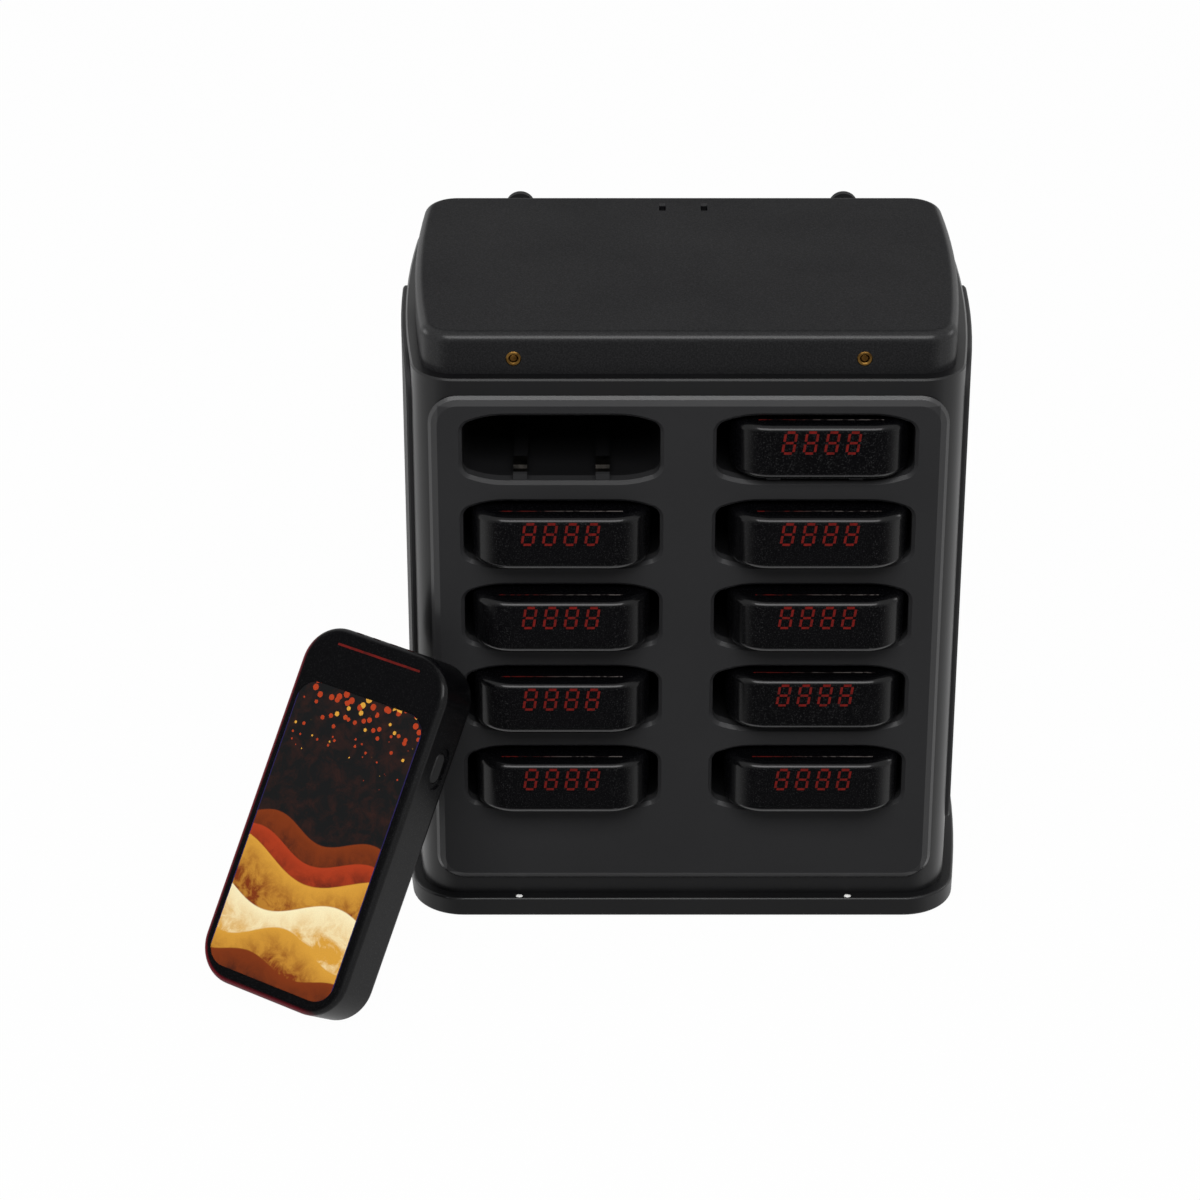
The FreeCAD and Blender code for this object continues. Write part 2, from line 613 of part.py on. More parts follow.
def add_housing(body, cut_from, cut_to):
    """Model the hollow housing and cut away what lies between two depths."""
    outline = new_sketch(body, "outline", "XY_Plane", BODY_BASE)
    body_outline(outline, "0")
    pad(body, outline, "body_tall")
    hollow = new_sketch(body, "hollow", "XY_Plane", f"{BODY_BASE} + wall")
    body_outline(hollow, "wall")
    pocket(body, hollow, "body_tall - 2 * wall", reverse=True)
    away = new_sketch(body, "away", "XY_Plane", BODY_BASE)
    rectangle(away, "-body_half_wide - wall", "body_half_wide + wall", cut_from, cut_to)
    pocket(body, away, "body_tall", reverse=True)


def make_body_shell():
    """Front of the housing: wall with the fascia's window, flanks, deck, floor and screw bosses."""
    body = new_body("body_shell")
    add_housing(body, SPLIT, f"{REAR} + wall")
    window = new_sketch(body, "window", "XZ_Plane", f"-({FRONT})")
    rounded(window, "-panel_wide / 2 + panel_seat", "panel_wide / 2 - panel_seat",
            f"{PANEL_BASE} + panel_seat", f"{PANEL_BASE} + panel_tall - panel_seat",
            "panel_corner - panel_seat")
    pocket(body, window, "wall + flange_wall")
    bosses = new_sketch(body, "bosses", "XZ_Plane", f"-({SPLIT})")
    holes = new_sketch(body, "screw_holes", "XZ_Plane", f"-({SPLIT})")
    for x, z in boss_places():
        circle(bosses, x, z, "boss_radius")
        circle(holes, x, z, "screw_radius + screw_play")
    pad(body, bosses, f"{SPLIT} - ({PANEL_BACK}) - flange_wall - boss_gap")
    pocket(body, holes, "screw_long", reverse=True)
    top, split = size(RIM), size(SPLIT)
    dress(body, "Chamfer", "rim_edge",
          lambda edge, middle: near(middle.z, top) and middle.y < split - 0.01)
    return body


def make_rear_cover():
    """Tray that closes the housing's back, with four screw wells and the power inlet's hole."""
    body = new_body("rear_cover")
    add_housing(body, f"{FRONT} - wall", SPLIT)
    bosses = new_sketch(body, "bosses", "XZ_Plane", f"-({REAR}) + wall")
    holes = new_sketch(body, "screw_holes", "XZ_Plane", f"-({REAR})")
    wells = new_sketch(body, "screw_wells", "XZ_Plane", f"-({REAR})")
    for x, z in boss_places():
        circle(bosses, x, z, "boss_radius")
        circle(holes, x, z, "screw_radius + screw_play")
        circle(wells, x, z, "screw_head + screw_play")
    pad(body, bosses, "cover_deep - wall")
    pocket(body, holes, "cover_deep", reverse=True)
    pocket(body, wells, "screw_head_tall + screw_sunk", reverse=True)
    inlet = new_sketch(body, "inlet_hole", "XZ_Plane", f"-({REAR})")
    circle(inlet, "inlet_side", f"{BODY_BASE} + inlet_rise", "inlet_radius + screw_play")
    pocket(body, inlet, "wall", reverse=True)
    top, split = size(RIM), size(SPLIT)
    dress(body, "Chamfer", "rim_edge",
          lambda edge, middle: near(middle.z, top) and middle.y > split + 0.01)
    return body


def make_case_screws():
    """Four flat-topped screws that hold the rear cover to the bosses."""
    body = new_body("case_screws")
    heads = new_sketch(body, "heads", "XZ_Plane", f"-({REAR}) + screw_sunk")
    shafts = new_sketch(body, "shafts", "XZ_Plane", f"-({REAR}) + screw_sunk + screw_head_tall")
    for x, z in boss_places():
        circle(heads, x, z, "screw_head")
        circle(shafts, x, z, "screw_radius")
    pad(body, heads, "screw_head_tall")
    pad(body, shafts, "screw_long")
    return body


def foot_places():
    """Centres of the four feet, as formulas of X and Y."""
    x = "body_half_wide + plinth_ledge - foot_inset"
    y = "body_deep / 2 + plinth_ledge - foot_inset"
    return [(f"{across}({x})", f"{back}({y})") for across in ("-", "") for back in ("-", "")]


def make_plinth():
    """Stepped foot plate with a shallow recess and four foot wells in its underside."""
    body = new_body("plinth")
    outline = new_sketch(body, "outline", "XY_Plane", "foot_proud")
    body_outline(outline, "-plinth_ledge")
    pad(body, outline, "plinth_tall")
    low, high = size("foot_proud"), size(BODY_BASE)
    dress(body, "Fillet", "plinth_edge",
          lambda edge, middle: near(middle.z, low) or near(middle.z, high))
    recess = new_sketch(body, "recess", "XY_Plane", "foot_proud")
    rounded(recess, "-body_half_wide + plinth_rim", "body_half_wide - plinth_rim",
            f"{FRONT} + plinth_rim", f"{REAR} - plinth_rim", "corner_front")
    pocket(body, recess, "plinth_hollow", reverse=True)
    wells = new_sketch(body, "foot_wells", "XY_Plane", "foot_proud")
    for x, y in foot_places():
        circle(wells, x, y, "foot_radius + foot_play")
    pocket(body, wells, "foot_sunk", reverse=True)
    return body


def make_base_feet():
    """Four rubber discs, set in the plinth's wells."""
    body = new_body("base_feet")
    discs = new_sketch(body, "discs", "XY_Plane")
    for x, y in foot_places():
        circle(discs, x, y, "foot_radius")
    pad(body, discs, "foot_proud + foot_sunk")
    dress(body, "Chamfer", "foot_edge", lambda edge, middle: near(middle.z, 0))
    return body


def make_top_cap():
    """Shallow lid with a rounded top edge, two latch wells, and holes for rings and bumpers."""
    body = new_body("top_cap")
    outline = new_sketch(body, "outline", "XY_Plane", RIM)
    cap_outline(outline, "0")
    pad(body, outline, "cap_tall")
    top = size(CAP_TOP)
    dress(body, "Fillet", "cap_edge", lambda edge, middle: near(middle.z, top))
    hollow = new_sketch(body, "hollow", "XY_Plane", RIM)
    cap_outline(hollow, "cap_wall")
    pocket(body, hollow, "cap_tall - cap_roof", reverse=True)
    wells = new_sketch(body, "latch_wells", "XY_Plane", CAP_TOP)
    for side in ("-", "+"):
        middle = f"{side} well_apart / 2"
        rectangle(wells, f"{middle} - well_wide / 2", f"{middle} + well_wide / 2",
                  f"{CAP_REAR} - well_back - well_long / 2", f"{CAP_REAR} - well_back + well_long / 2")
    pocket(body, wells, "well_deep")
    brink = size(f"{CAP_REAR} - well_back + well_long / 2")
    dress(body, "Chamfer", "well_edge",
          lambda edge, middle: near(middle.z, top) and near(middle.y, brink))
    rings = new_sketch(body, "ring_holes", "XZ_Plane", f"-({CAP_FRONT})")
    stems = new_sketch(body, "stem_holes", "XZ_Plane", f"-({CAP_REAR})")
    for side in ("-", "+"):
        circle(rings, f"{side} fitting_apart / 2", FITTING_LEVEL, "ring_radius + fit_play")
        circle(stems, f"{side} fitting_apart / 2", FITTING_LEVEL, "stem_radius + fit_play")
    pocket(body, rings, "cap_wall")
    pocket(body, stems, "cap_wall", reverse=True)
    return body


def turned_pair(label, profile):
    """Turn a profile of radii and depths about the left fitting's axis and mirror it to the right."""
    body = new_body(label)
    sketch = new_sketch(body, "profile", "XY_Plane", FITTING_LEVEL)
    polygon(sketch, [(f"-fitting_apart / 2 - ({radius})", depth) for radius, depth in profile])
    axis = sketch.addGeometry(Part.LineSegment(flat(size("-fitting_apart / 2"), -1),
                                               flat(size("-fitting_apart / 2"), 1)), True)
    for end, depth in ((1, "-1"), (2, "1")):
        place(sketch, "x", axis, end, "-fitting_apart / 2")
        place(sketch, "y", axis, end, depth)
    turned = body.newObject("PartDesign::Revolution", f"{label}_turned")
    turned.Profile = sketch
    turned.ReferenceAxis = (sketch, ["Axis0"])
    turned.Angle = 360
    doc.recompute()
    mirror = body.newObject("PartDesign::Mirrored", f"{label}_mirror")
    mirror.Originals = [turned]
    mirror.MirrorPlane = (origin_plane(body, "YZ_Plane"), [""])
    body.Tip = mirror
    return body


def make_cap_contact_rings():
    """Two brass rings in the cap's front, each with a bevelled lip."""
    front, lip = f"{CAP_FRONT} - ring_proud", "ring_proud"
    return turned_pair("cap_contact_rings", [
        ("ring_bore", f"{front} + {lip}"),
        (f"ring_bore + {lip}", front),
        (f"ring_radius - {lip}", front),
        ("ring_radius", f"{front} + {lip}"),
        ("ring_radius", f"{front} + ring_long"),
        ("ring_bore", f"{front} + ring_long"),
    ])


def make_rear_bumpers():
    """Two bumper discs on stems that reach back from the cap."""
    disc = f"{CAP_REAR} + bumper_reach - bumper_thick"
    back = f"{CAP_REAR} + bumper_reach"
    return turned_pair("rear_bumpers", [
        ("0", f"{CAP_REAR} - stem_inside"),
        ("stem_radius", f"{CAP_REAR} - stem_inside"),
        ("stem_radius", disc),
        ("bumper_radius", disc),
        ("bumper_radius", f"{back} - bumper_edge"),
        ("bumper_radius - bumper_edge", back),
        ("0", back),
    ])


def make_side_pads():
    """Two grip pads that follow the bulged flanks, with round corners and soft edges."""
    body = new_body("side_pads")
    low, tall = f"{BODY_BASE} + pad_low", "body_tall - pad_low - pad_high"
    outside = new_sketch(body, "outside", "XY_Plane", low)
    body_outline(outside, "-pad_proud")
    pad(body, outside, tall)
    inside = new_sketch(body, "inside", "XY_Plane", low)
    body_outline(inside, "0")
    pocket(body, inside, tall, reverse=True)
    high, reach = f"{low} + {tall}", "body_half_wide + pad_proud"
    around = new_sketch(body, "around", "YZ_Plane")
    rectangle(around, f"{FRONT} - {reach}", f"{REAR} + {reach}", f"{low} - wall", f"{high} + wall")
    rounded(around, PAD_FRONT, PAD_REAR, low, high, "pad_corner")
    cut_through(body, around)
    middle_x, middle_y = size(FLANK_CENTRE), size("widest_back")
    sweep = size("side_sweep + pad_proud")
    dress(body, "Chamfer", "pad_edge",
          lambda edge, middle: near(math.hypot(abs(middle.x) - middle_x, middle.y - middle_y), sweep))
    return body


# ---------------------------------------------------------------- fascia, pockets and inner pieces


def column_middle(column):
    """Formula of a column's middle."""
    return f"{COLUMNS[column]} * column_pitch / 2"


def make_front_panel():
    """Raised fascia with a plug behind it, ten bevelled mouths and the tips of the ribs."""
    body = new_body("front_panel")
    plate = new_sketch(body, "plate", "XZ_Plane", f"-({FRONT})")
    rounded(plate, "-panel_wide / 2", "panel_wide / 2", PANEL_BASE, f"{PANEL_BASE} + panel_tall",
            "panel_corner")
    pad(body, plate, "panel_raise")
    face = size(FACE)
    dress(body, "Chamfer", "panel_bevel", lambda edge, middle: near(middle.y, face))
    plug = new_sketch(body, "plug", "XZ_Plane", f"-({FRONT})")
    inset = "(panel_seat + panel_play)"
    rounded(plug, f"-panel_wide / 2 + {inset}", f"panel_wide / 2 - {inset}",
            f"{PANEL_BASE} + {inset}", f"{PANEL_BASE} + panel_tall - {inset}", f"panel_corner - {inset}")
    pad(body, plug, "wall", reverse=True)
    mouths = new_sketch(body, "mouths", "XZ_Plane", f"-({FACE})")
    tips = new_sketch(body, "tips", "XZ_Plane", f"-({FACE}) - tip_start - tip_long")
    for column in COLUMNS:
        mouth(mouths, column_middle(column), LOWEST_FLOOR)
        ribs(tips, column)
    cut = pocket(body, mouths, "panel_raise + wall")
    repeat_rows(body, [cut], mouths)
    wide = size("panel_wide / 2 - panel_bevel - panel_seat / 2")
    low = size(f"{PANEL_BASE} + panel_bevel + panel_seat / 2")
    high = size(f"{PANEL_BASE} + panel_tall - panel_bevel - panel_seat / 2")
    dress(body, "Chamfer", "mouth_bevel",
          lambda edge, middle: near(middle.y, face) and abs(middle.x) < wide and low < middle.z < high)
    tip = pad(body, tips, "tip_long")
    repeat_rows(body, [tip], tips)
    return body


def rib_sides(column):
    """Left edges of a column's two ribs."""
    return [f"{column_middle(column)} {side} rail_apart / 2 - rail_wide / 2" for side in ("-", "+")]


def ribs(sketch, column):
    """Add the section of a column's two lowest ribs."""
    for left in rib_sides(column):
        rectangle(sketch, left, f"{left} + rail_wide", LOWEST_FLOOR, f"{LOWEST_FLOOR} + rail_tall")


def make_bay_stack(label, column):
    """A column's flange and five blind pockets, with the ribs that the pagers slide on."""
    body = new_body(label)
    middle = column_middle(column)
    flange = new_sketch(body, "flange", "XZ_Plane", f"-({PANEL_BACK})")
    reach = "(bay_wide / 2 + flange_rim)"
    rounded(flange, f"{middle} - {reach}", f"{middle} + {reach}", f"{LOWEST_FLOOR} - flange_rim",
            f"{TOP_FLOOR} + bay_high + flange_rim", "mouth_drop")
    pad(body, flange, "flange_wall", reverse=True)
    outside = new_sketch(body, "outside", "XZ_Plane", f"-({PANEL_BACK})")
    mouth(outside, middle, LOWEST_FLOOR, "bay_wall")
    sleeve = pad(body, outside, f"{STACK_BACK} - ({PANEL_BACK})", reverse=True)
    inside = new_sketch(body, "inside", "XZ_Plane", f"-({PANEL_BACK})")
    mouth(inside, middle, LOWEST_FLOOR)
    hollow = pocket(body, inside, f"{BAY_BACK} - ({PANEL_BACK})")
    rails = new_sketch(body, "rails", "XZ_Plane", f"-({RAIL_FRONT})")
    ribs(rails, column)
    rail = pad(body, rails, f"{BAY_BACK} - ({RAIL_FRONT})", reverse=True)
    repeat_rows(body, [sleeve, hollow, rail], outside)
    pillars = new_sketch(body, "pillars", "XZ_Plane", f"-({STACK_BACK})")
    for floor in (LOWEST_FLOOR, TOP_FLOOR):
        circle(pillars, middle, f"{floor} + bay_high / 2", "pillar_radius")
    pad(body, pillars, "pillar_long", reverse=True)
    return body


def contact_profiles(body, column, floor, rise="0"):
    """Pad a column's two contacts on one floor, each a bevelled block in line with a rib."""
    pads, sketches = [], []
    back = f"{CONTACT_FRONT} + contact_long"
    low, high = f"{floor} + {rise}", f"{floor} + {rise} + rail_tall"
    for index, left in enumerate(rib_sides(column)):
        sketch = new_sketch(body, f"{column}{index}", "YZ_Plane", left)
        polygon(sketch, [(CONTACT_FRONT, low), (back, low), (back, high),
                         (f"{CONTACT_FRONT} + contact_edge", high),
                         (CONTACT_FRONT, f"{high} - contact_edge")])
        pads.append(pad(body, sketch, "rail_wide"))
        sketches.append(sketch)
    return pads, sketches[0]


def make_contacts():
    """Charging contacts: pressed level with the ribs under the pagers, and free in the empty bay."""
    pressed = new_body("bay_contacts")
    for column in COLUMNS:
        rows = ROWS - 1 if column == EMPTY_BAY[0] else ROWS
        pads, sketch = contact_profiles(pressed, column, LOWEST_FLOOR)
        repeat_rows(pressed, pads, sketch, rows)
    free = new_body("free_contacts")
    contact_profiles(free, EMPTY_BAY[0], TOP_FLOOR, "contact_travel")
    return pressed, free


def make_main_board():
    """Circuit board that stands on the pillars behind both columns."""
    body = new_body("main_board")
    sketch = new_sketch(body, "outline", "XZ_Plane", f"-({STACK_BACK}) - pillar_long")
    reach = "(column_pitch / 2 + bay_wide / 2 - board_margin)"
    rectangle(sketch, f"-{reach}", reach, LOWEST_FLOOR, f"{TOP_FLOOR} + bay_high")
    pad(body, sketch, "board_wall", reverse=True)
    return body


def make_dc_inlet():
    """Power inlet: a block behind the rear cover, a barrel through it, a socket and its pin."""
    body = new_body("dc_inlet")
    level = f"{BODY_BASE} + inlet_rise"
    block = new_sketch(body, "block", "XZ_Plane", f"-({REAR}) + wall")
    rectangle(block, "inlet_side - inlet_block_wide / 2", "inlet_side + inlet_block_wide / 2",
              f"{level} - inlet_block_tall / 2", f"{level} + inlet_block_tall / 2")
    pad(body, block, "inlet_block_deep")
    barrel = new_sketch(body, "barrel", "XZ_Plane", f"-({REAR})")
    circle(barrel, "inlet_side", level, "inlet_radius")
    pad(body, barrel, "wall")
    socket = new_sketch(body, "socket", "XZ_Plane", f"-({REAR})")
    circle(socket, "inlet_side", level, "inlet_bore")
    circle(socket, "inlet_side", level, "inlet_pin")
    pocket(body, socket, "inlet_socket", reverse=True)
    return body


# ---------------------------------------------------------------- pager, in its own frame
# X is across the pager, Y runs from its exposed end to its inner end, and Z from its back to its face.


def pager_outline(sketch, inset):
    """Add the pager's plan outline, moved inwards."""
    rounded(sketch, f"-pager_wide / 2 + {inset}", f"pager_wide / 2 - ({inset})", inset,
            f"pager_long - ({inset})", f"pager_corner - ({inset})")


def card_outline(sketch, grow):
    """Add the label card's outline, moved outwards."""
    rounded(sketch, f"-card_wide / 2 - {grow}", f"card_wide / 2 + {grow}", f"card_start - {grow}",
            f"card_start + card_long + {grow}", f"card_corner + {grow}")


def charge_outlines(sketch, grow):
    """Add the outlines of a pager's two charging plates, moved outwards."""
    for side in ("-", "+"):
        middle = f"{side} rail_apart / 2"
        rectangle(sketch, f"{middle} - charge_wide / 2 - {grow}", f"{middle} + charge_wide / 2 + {grow}",
                  f"charge_start - {grow}", f"charge_start + charge_long + {grow}")


def seam_side(sketch, level):
    """Add the region above or below the stepped seam between shell and cover, seen from the side."""
    polygon(sketch, [("-pager_skin", level), ("-pager_skin", "lens_foot"), ("lens_run", "lens_foot"),
                     ("lens_run", "pager_seam"), ("pager_long + pager_skin", "pager_seam"),
                     ("pager_long + pager_skin", level)])


def make_cover_pattern():
    """Smoked cover: the face with the card's recess, and the lens down the exposed end."""
    body = new_body("cover_pattern", kept=False)
    outline = new_sketch(body, "outline", "XY_Plane")
    pager_outline(outline, "0")
    pad(body, outline, "pager_thick")
    top = size("pager_thick")
    dress(body, "Fillet", "pager_edge", lambda edge, middle: near(middle.z, top))
    hollow = new_sketch(body, "hollow", "XY_Plane")
    pager_outline(hollow, "pager_wall")
    pocket(body, hollow, "pager_thick - pager_skin", reverse=True)
    below = new_sketch(body, "below", "YZ_Plane")
    seam_side(below, "-pager_skin")
    cut_through(body, below)
    recess = new_sketch(body, "card_recess", "XY_Plane", "pager_thick")
    card_outline(recess, "card_play")
    pocket(body, recess, "card_thick")
    return body


def make_shell_pattern():
    """Lower shell: back with the charging plates' holes, walls, posts, button hole and scoop."""
    body = new_body("shell_pattern", kept=False)
    outline = new_sketch(body, "outline", "XY_Plane")
    pager_outline(outline, "0")
    pad(body, outline, "pager_thick")
    dress(body, "Fillet", "pager_edge", lambda edge, middle: near(middle.z, 0))
    hollow = new_sketch(body, "hollow", "XY_Plane", "pager_thick")
    pager_outline(hollow, "pager_wall")
    pocket(body, hollow, "pager_thick - pager_skin")
    above = new_sketch(body, "above", "YZ_Plane")
    seam_side(above, "pager_thick + pager_skin")
    cut_through(body, above)
    posts = new_sketch(body, "posts", "XY_Plane", "pager_skin")
    for side in ("-", ""):
        for end in ("post_end", "pager_long - post_end"):
            circle(posts, f"{side}(pager_wide / 2 - post_side)", end, "post_radius")
    pad(body, posts, "post_tall")
    holes = new_sketch(body, "charge_holes", "XY_Plane")
    charge_outlines(holes, "charge_play")
    pocket(body, holes, "pager_skin", reverse=True)
    scoop = new_sketch(body, "scoop", "YZ_Plane", "-pager_wide / 2")
    stadium(scoop, "button_place", "button_rise", "scoop_long", "scoop_high")
    pocket(body, scoop, "scoop_deep", reverse=True)
    hole = new_sketch(body, "hole", "YZ_Plane", "-pager_wide / 2")
    stadium(hole, "button_place", "button_rise", "button_long + 2 * button_play",
            "button_high + 2 * button_play")
    pocket(body, hole, "pager_wall", reverse=True)
    return body


def make_button_pattern():
    """Side button: a bevelled stem in the shell's hole and the flange that keeps it in."""
    body = new_body("button_pattern", kept=False)
    stem = new_sketch(body, "stem", "YZ_Plane", "-pager_wide / 2 + button_sunk")
    stadium(stem, "button_place", "button_rise", "button_long", "button_high")
    pad(body, stem, "pager_wall - button_sunk")
    outer = size("-pager_wide / 2 + button_sunk")
    dress(body, "Chamfer", "button_edge", lambda edge, middle: near(middle.x, outer))
    flange = new_sketch(body, "flange", "YZ_Plane", f"-({PAGER_INSIDE})")
    stadium(flange, "button_place", "button_rise", "button_long + 2 * button_lip",
            "button_high + 2 * button_lip")
    pad(body, flange, "button_stop")
    return body


def make_inner_patterns():
    """Inner pieces of a pager, its charging plates and its label card, each a pattern of its own."""
    board = new_body("board_pattern", kept=False)
    sketch = new_sketch(board, "outline", "XY_Plane", BOARD_LOW)
    reach = f"{PAGER_INSIDE} - button_stop - button_travel - pcb_gap"
    rounded(sketch, f"-({reach})", reach, BOARD_START, "pager_long - pager_wall - pcb_gap", "pcb_corner")
    pad(board, sketch, "pcb_wall")
    display = new_body("display_pattern", kept=False)
    sketch = new_sketch(display, "outline", "XY_Plane", BOARD_LOW)
    rectangle(sketch, "-display_wide / 2", "display_wide / 2", DISPLAY_FRONT, BOARD_START)
    pad(display, sketch, "display_tall")
    battery = new_body("battery_pattern", kept=False)
    sketch = new_sketch(battery, "outline", "XY_Plane", BOARD_TOP)
    rounded(sketch, "-cell_wide / 2", "cell_wide / 2", "cell_start", "cell_start + cell_long",
            "cell_corner")
    pad(battery, sketch, "cell_tall")
    motor = new_body("motor_pattern", kept=False)
    sketch = new_sketch(motor, "outline", "YZ_Plane", "motor_side - motor_long / 2")
    circle(sketch, "motor_start", f"{BOARD_TOP} + motor_radius + motor_gap", "motor_radius")
    pad(motor, sketch, "motor_long")
    card = new_body("card_pattern", kept=False)
    sketch = new_sketch(card, "outline", "XY_Plane", "pager_thick - card_thick")
    card_outline(sketch, "0")
    pad(card, sketch, "card_thick")
    plates = new_body("plates_pattern", kept=False)
    sketch = new_sketch(plates, "outline", "XY_Plane")
    charge_outlines(sketch, "0")
    pad(plates, sketch, BOARD_LOW)
    return {"board": board, "display": display, "battery": battery, "motor": motor, "card": card,
            "plates": plates}


# ---------------------------------------------------------------- pagers in their places


def place_copy(label, patterns, base, turn=None):
    """Repeat patterns of the pager as one sub-part, at a place given by three formulas."""
    copy = doc.addObject("Part::Compound", label)
    copy.Label = label
    copy.Links = patterns
    copy.Placement = Placement(Vector(0, 0, 0), turn or Rotation())
    for axis, formula in zip("xyz", base):
        copy.setExpression(f"Placement.Base.{axis}", link(formula))
    parts.append(copy)


def make_docked_pagers(cover, shell, button, inner):
    """Place a pager in each bay but the empty one, on the ribs and at its own depth."""
    shifts = {"l": "shift_left", "r": "shift_right"}
    deeper = {("r", 1): "deep_first", ("r", 4): "deep_fourth"}
    for column in COLUMNS:
        for row in range(1, ROWS + 1):
            if (column, row) == EMPTY_BAY:
                continue
            base = (f"{column_middle(column)} + {shifts[column]}",
                    f"{FACE} - pager_proud + {deeper.get((column, row), '0')}",
                    f"{TOP_FLOOR} - {row - 1} * bay_pitch + rail_tall")
            name = f"pager_{column}{row}"
            place_copy(f"{name}_cover", [cover], base)
            place_copy(f"{name}_shell", [shell], base)
            place_copy(f"{name}_core", list(inner.values()), base)
            place_copy(f"{name}_button", [button], base)


def loose_base():
    """Place of the loose pager: its lower edge on the ground, its upper edge by the fascia's side.

    The further the docked pagers stand out, the further aside it stands. Where its round corner
    then meets the fascia, it comes closer by half of what the corner falls away.
    """
    sine, cosine = "sin(loose_yaw)", "cos(loose_yaw)"
    edge_x = "-(panel_wide / 2 - panel_bevel)"
    past = "(loose_offset + pager_proud)"
    over = f"max(0; {past} - pager_wide / 2 + pager_corner)"
    fall = f"(pager_corner - sqrt(pager_corner^2 - {over}^2)) * sin(loose_lean) / 2"
    lip = "pager_edge * (sin(loose_lean) + cos(loose_lean)) - pager_edge"
    ahead = f"({edge_x} * {sine} + ({FACE}) * {cosine} - loose_gap + {lip} + {fall})"
    aside = f"({edge_x} * {cosine} - ({FACE}) * {sine} - {past})"
    rise = "(pager_long - pager_edge) * cos(loose_lean) - pager_edge * sin(loose_lean) + pager_edge"
    return (f"{ahead} * {sine} + {aside} * {cosine}", f"{ahead} * {cosine} - {aside} * {sine}", rise)


def make_loose_pager(cover, shell, button, inner):
    """Place the loose pager, leaning back against the left of the fascia."""
    turn = Rotation(180 - size("loose_yaw"), 0, size("loose_lean") - 90)
    base = loose_base()
    pieces = {"cover": [cover], "shell": [shell], "label_card": [inner["card"]],
              "display": [inner["display"]], "board": [inner["board"], inner["plates"]],
              "battery": [inner["battery"]], "motor": [inner["motor"]], "button": [button]}
    for name, patterns in pieces.items():
        place_copy(f"loose_{name}", patterns, base, turn)


# ---------------------------------------------------------------- build, check and write


def check_and_write():
    """Refuse a failed object or an invalid shape, then write one file for each sub-part."""
    doc.recompute()
    for item in doc.Objects:
        if {"Invalid", "Error"} & set(item.State):
            raise ValueError(f"{item.Label} did not rebuild")
    for part in parts:
        if part.Shape.isNull() or not part.Shape.isValid() or not part.Shape.Solids:
            raise ValueError(f"{part.Label} has no valid solid")
    os.makedirs("parts", exist_ok=True)
    for part in parts:
        part.Shape.exportStep(f"parts/{part.Label}.step")


fill_sheet()
make_body_shell()
make_rear_cover()
make_case_screws()
make_plinth()
make_base_feet()
make_top_cap()
make_cap_contact_rings()
make_rear_bumpers()
make_side_pads()
make_front_panel()
make_bay_stack("bay_stack_left", "l")
make_bay_stack("bay_stack_right", "r")
make_contacts()
make_main_board()
make_dc_inlet()
pager_patterns = (make_cover_pattern(), make_shell_pattern(), make_button_pattern(),
                  make_inner_patterns())
doc.recompute()
make_docked_pagers(*pager_patterns)
make_loose_pager(*pager_patterns)
check_and_write()
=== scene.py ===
"""Guest pager system: a charging base with bays, docked pagers and one loose pager.

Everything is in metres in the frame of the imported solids: +Z up, +X to the right, +Y to the back.
Each sub-assembly is a class that dresses its solids and builds the pieces that the solids leave out.
"""

from __future__ import annotations

import json
import logging
import math
from dataclasses import dataclass, replace
from enum import Enum
from typing import Any

import bmesh
import bpy
from mathutils import Matrix, Vector

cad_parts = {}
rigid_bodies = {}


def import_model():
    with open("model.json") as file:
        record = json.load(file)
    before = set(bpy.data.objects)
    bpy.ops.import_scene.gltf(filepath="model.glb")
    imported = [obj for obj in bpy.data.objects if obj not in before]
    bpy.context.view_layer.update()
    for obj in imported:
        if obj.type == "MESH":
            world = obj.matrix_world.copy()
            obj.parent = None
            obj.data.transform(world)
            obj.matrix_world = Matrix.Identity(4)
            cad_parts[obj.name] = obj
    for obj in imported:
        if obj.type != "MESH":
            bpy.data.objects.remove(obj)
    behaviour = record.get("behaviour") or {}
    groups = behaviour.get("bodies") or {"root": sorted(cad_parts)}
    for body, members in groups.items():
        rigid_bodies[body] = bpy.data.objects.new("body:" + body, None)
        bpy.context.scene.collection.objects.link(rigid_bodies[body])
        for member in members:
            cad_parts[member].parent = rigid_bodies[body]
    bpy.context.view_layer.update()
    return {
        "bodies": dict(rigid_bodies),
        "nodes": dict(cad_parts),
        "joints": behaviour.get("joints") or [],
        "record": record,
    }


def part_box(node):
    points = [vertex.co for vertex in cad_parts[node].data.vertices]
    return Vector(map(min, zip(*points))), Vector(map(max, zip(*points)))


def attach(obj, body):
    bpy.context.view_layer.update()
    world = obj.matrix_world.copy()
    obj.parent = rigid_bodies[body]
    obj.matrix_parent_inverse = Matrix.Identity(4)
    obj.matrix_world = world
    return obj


MM = 0.001
WELD = 1e-7
LOG = logging.getLogger("guest_pager_system")
Tree = bpy.types.NodeTree
Socket = bpy.types.NodeSocket


# ---------------------------------------------------------------- colours and nodes


def linear(code: str) -> tuple[float, float, float, float]:
    """Turn an sRGB hex colour into linear red, green, blue and an alpha of one.

    Args:
        code: Six hex digits after a hash sign.

    Returns:
        The linear colour that Blender's sockets expect.
    """
    shares = [int(code[place:place + 2], 16) / 255 for place in (1, 3, 5)]
    lit = [share / 12.92 if share <= 0.04045 else ((share + 0.055) / 1.055) ** 2.4 for share in shares]
    return (lit[0], lit[1], lit[2], 1.0)


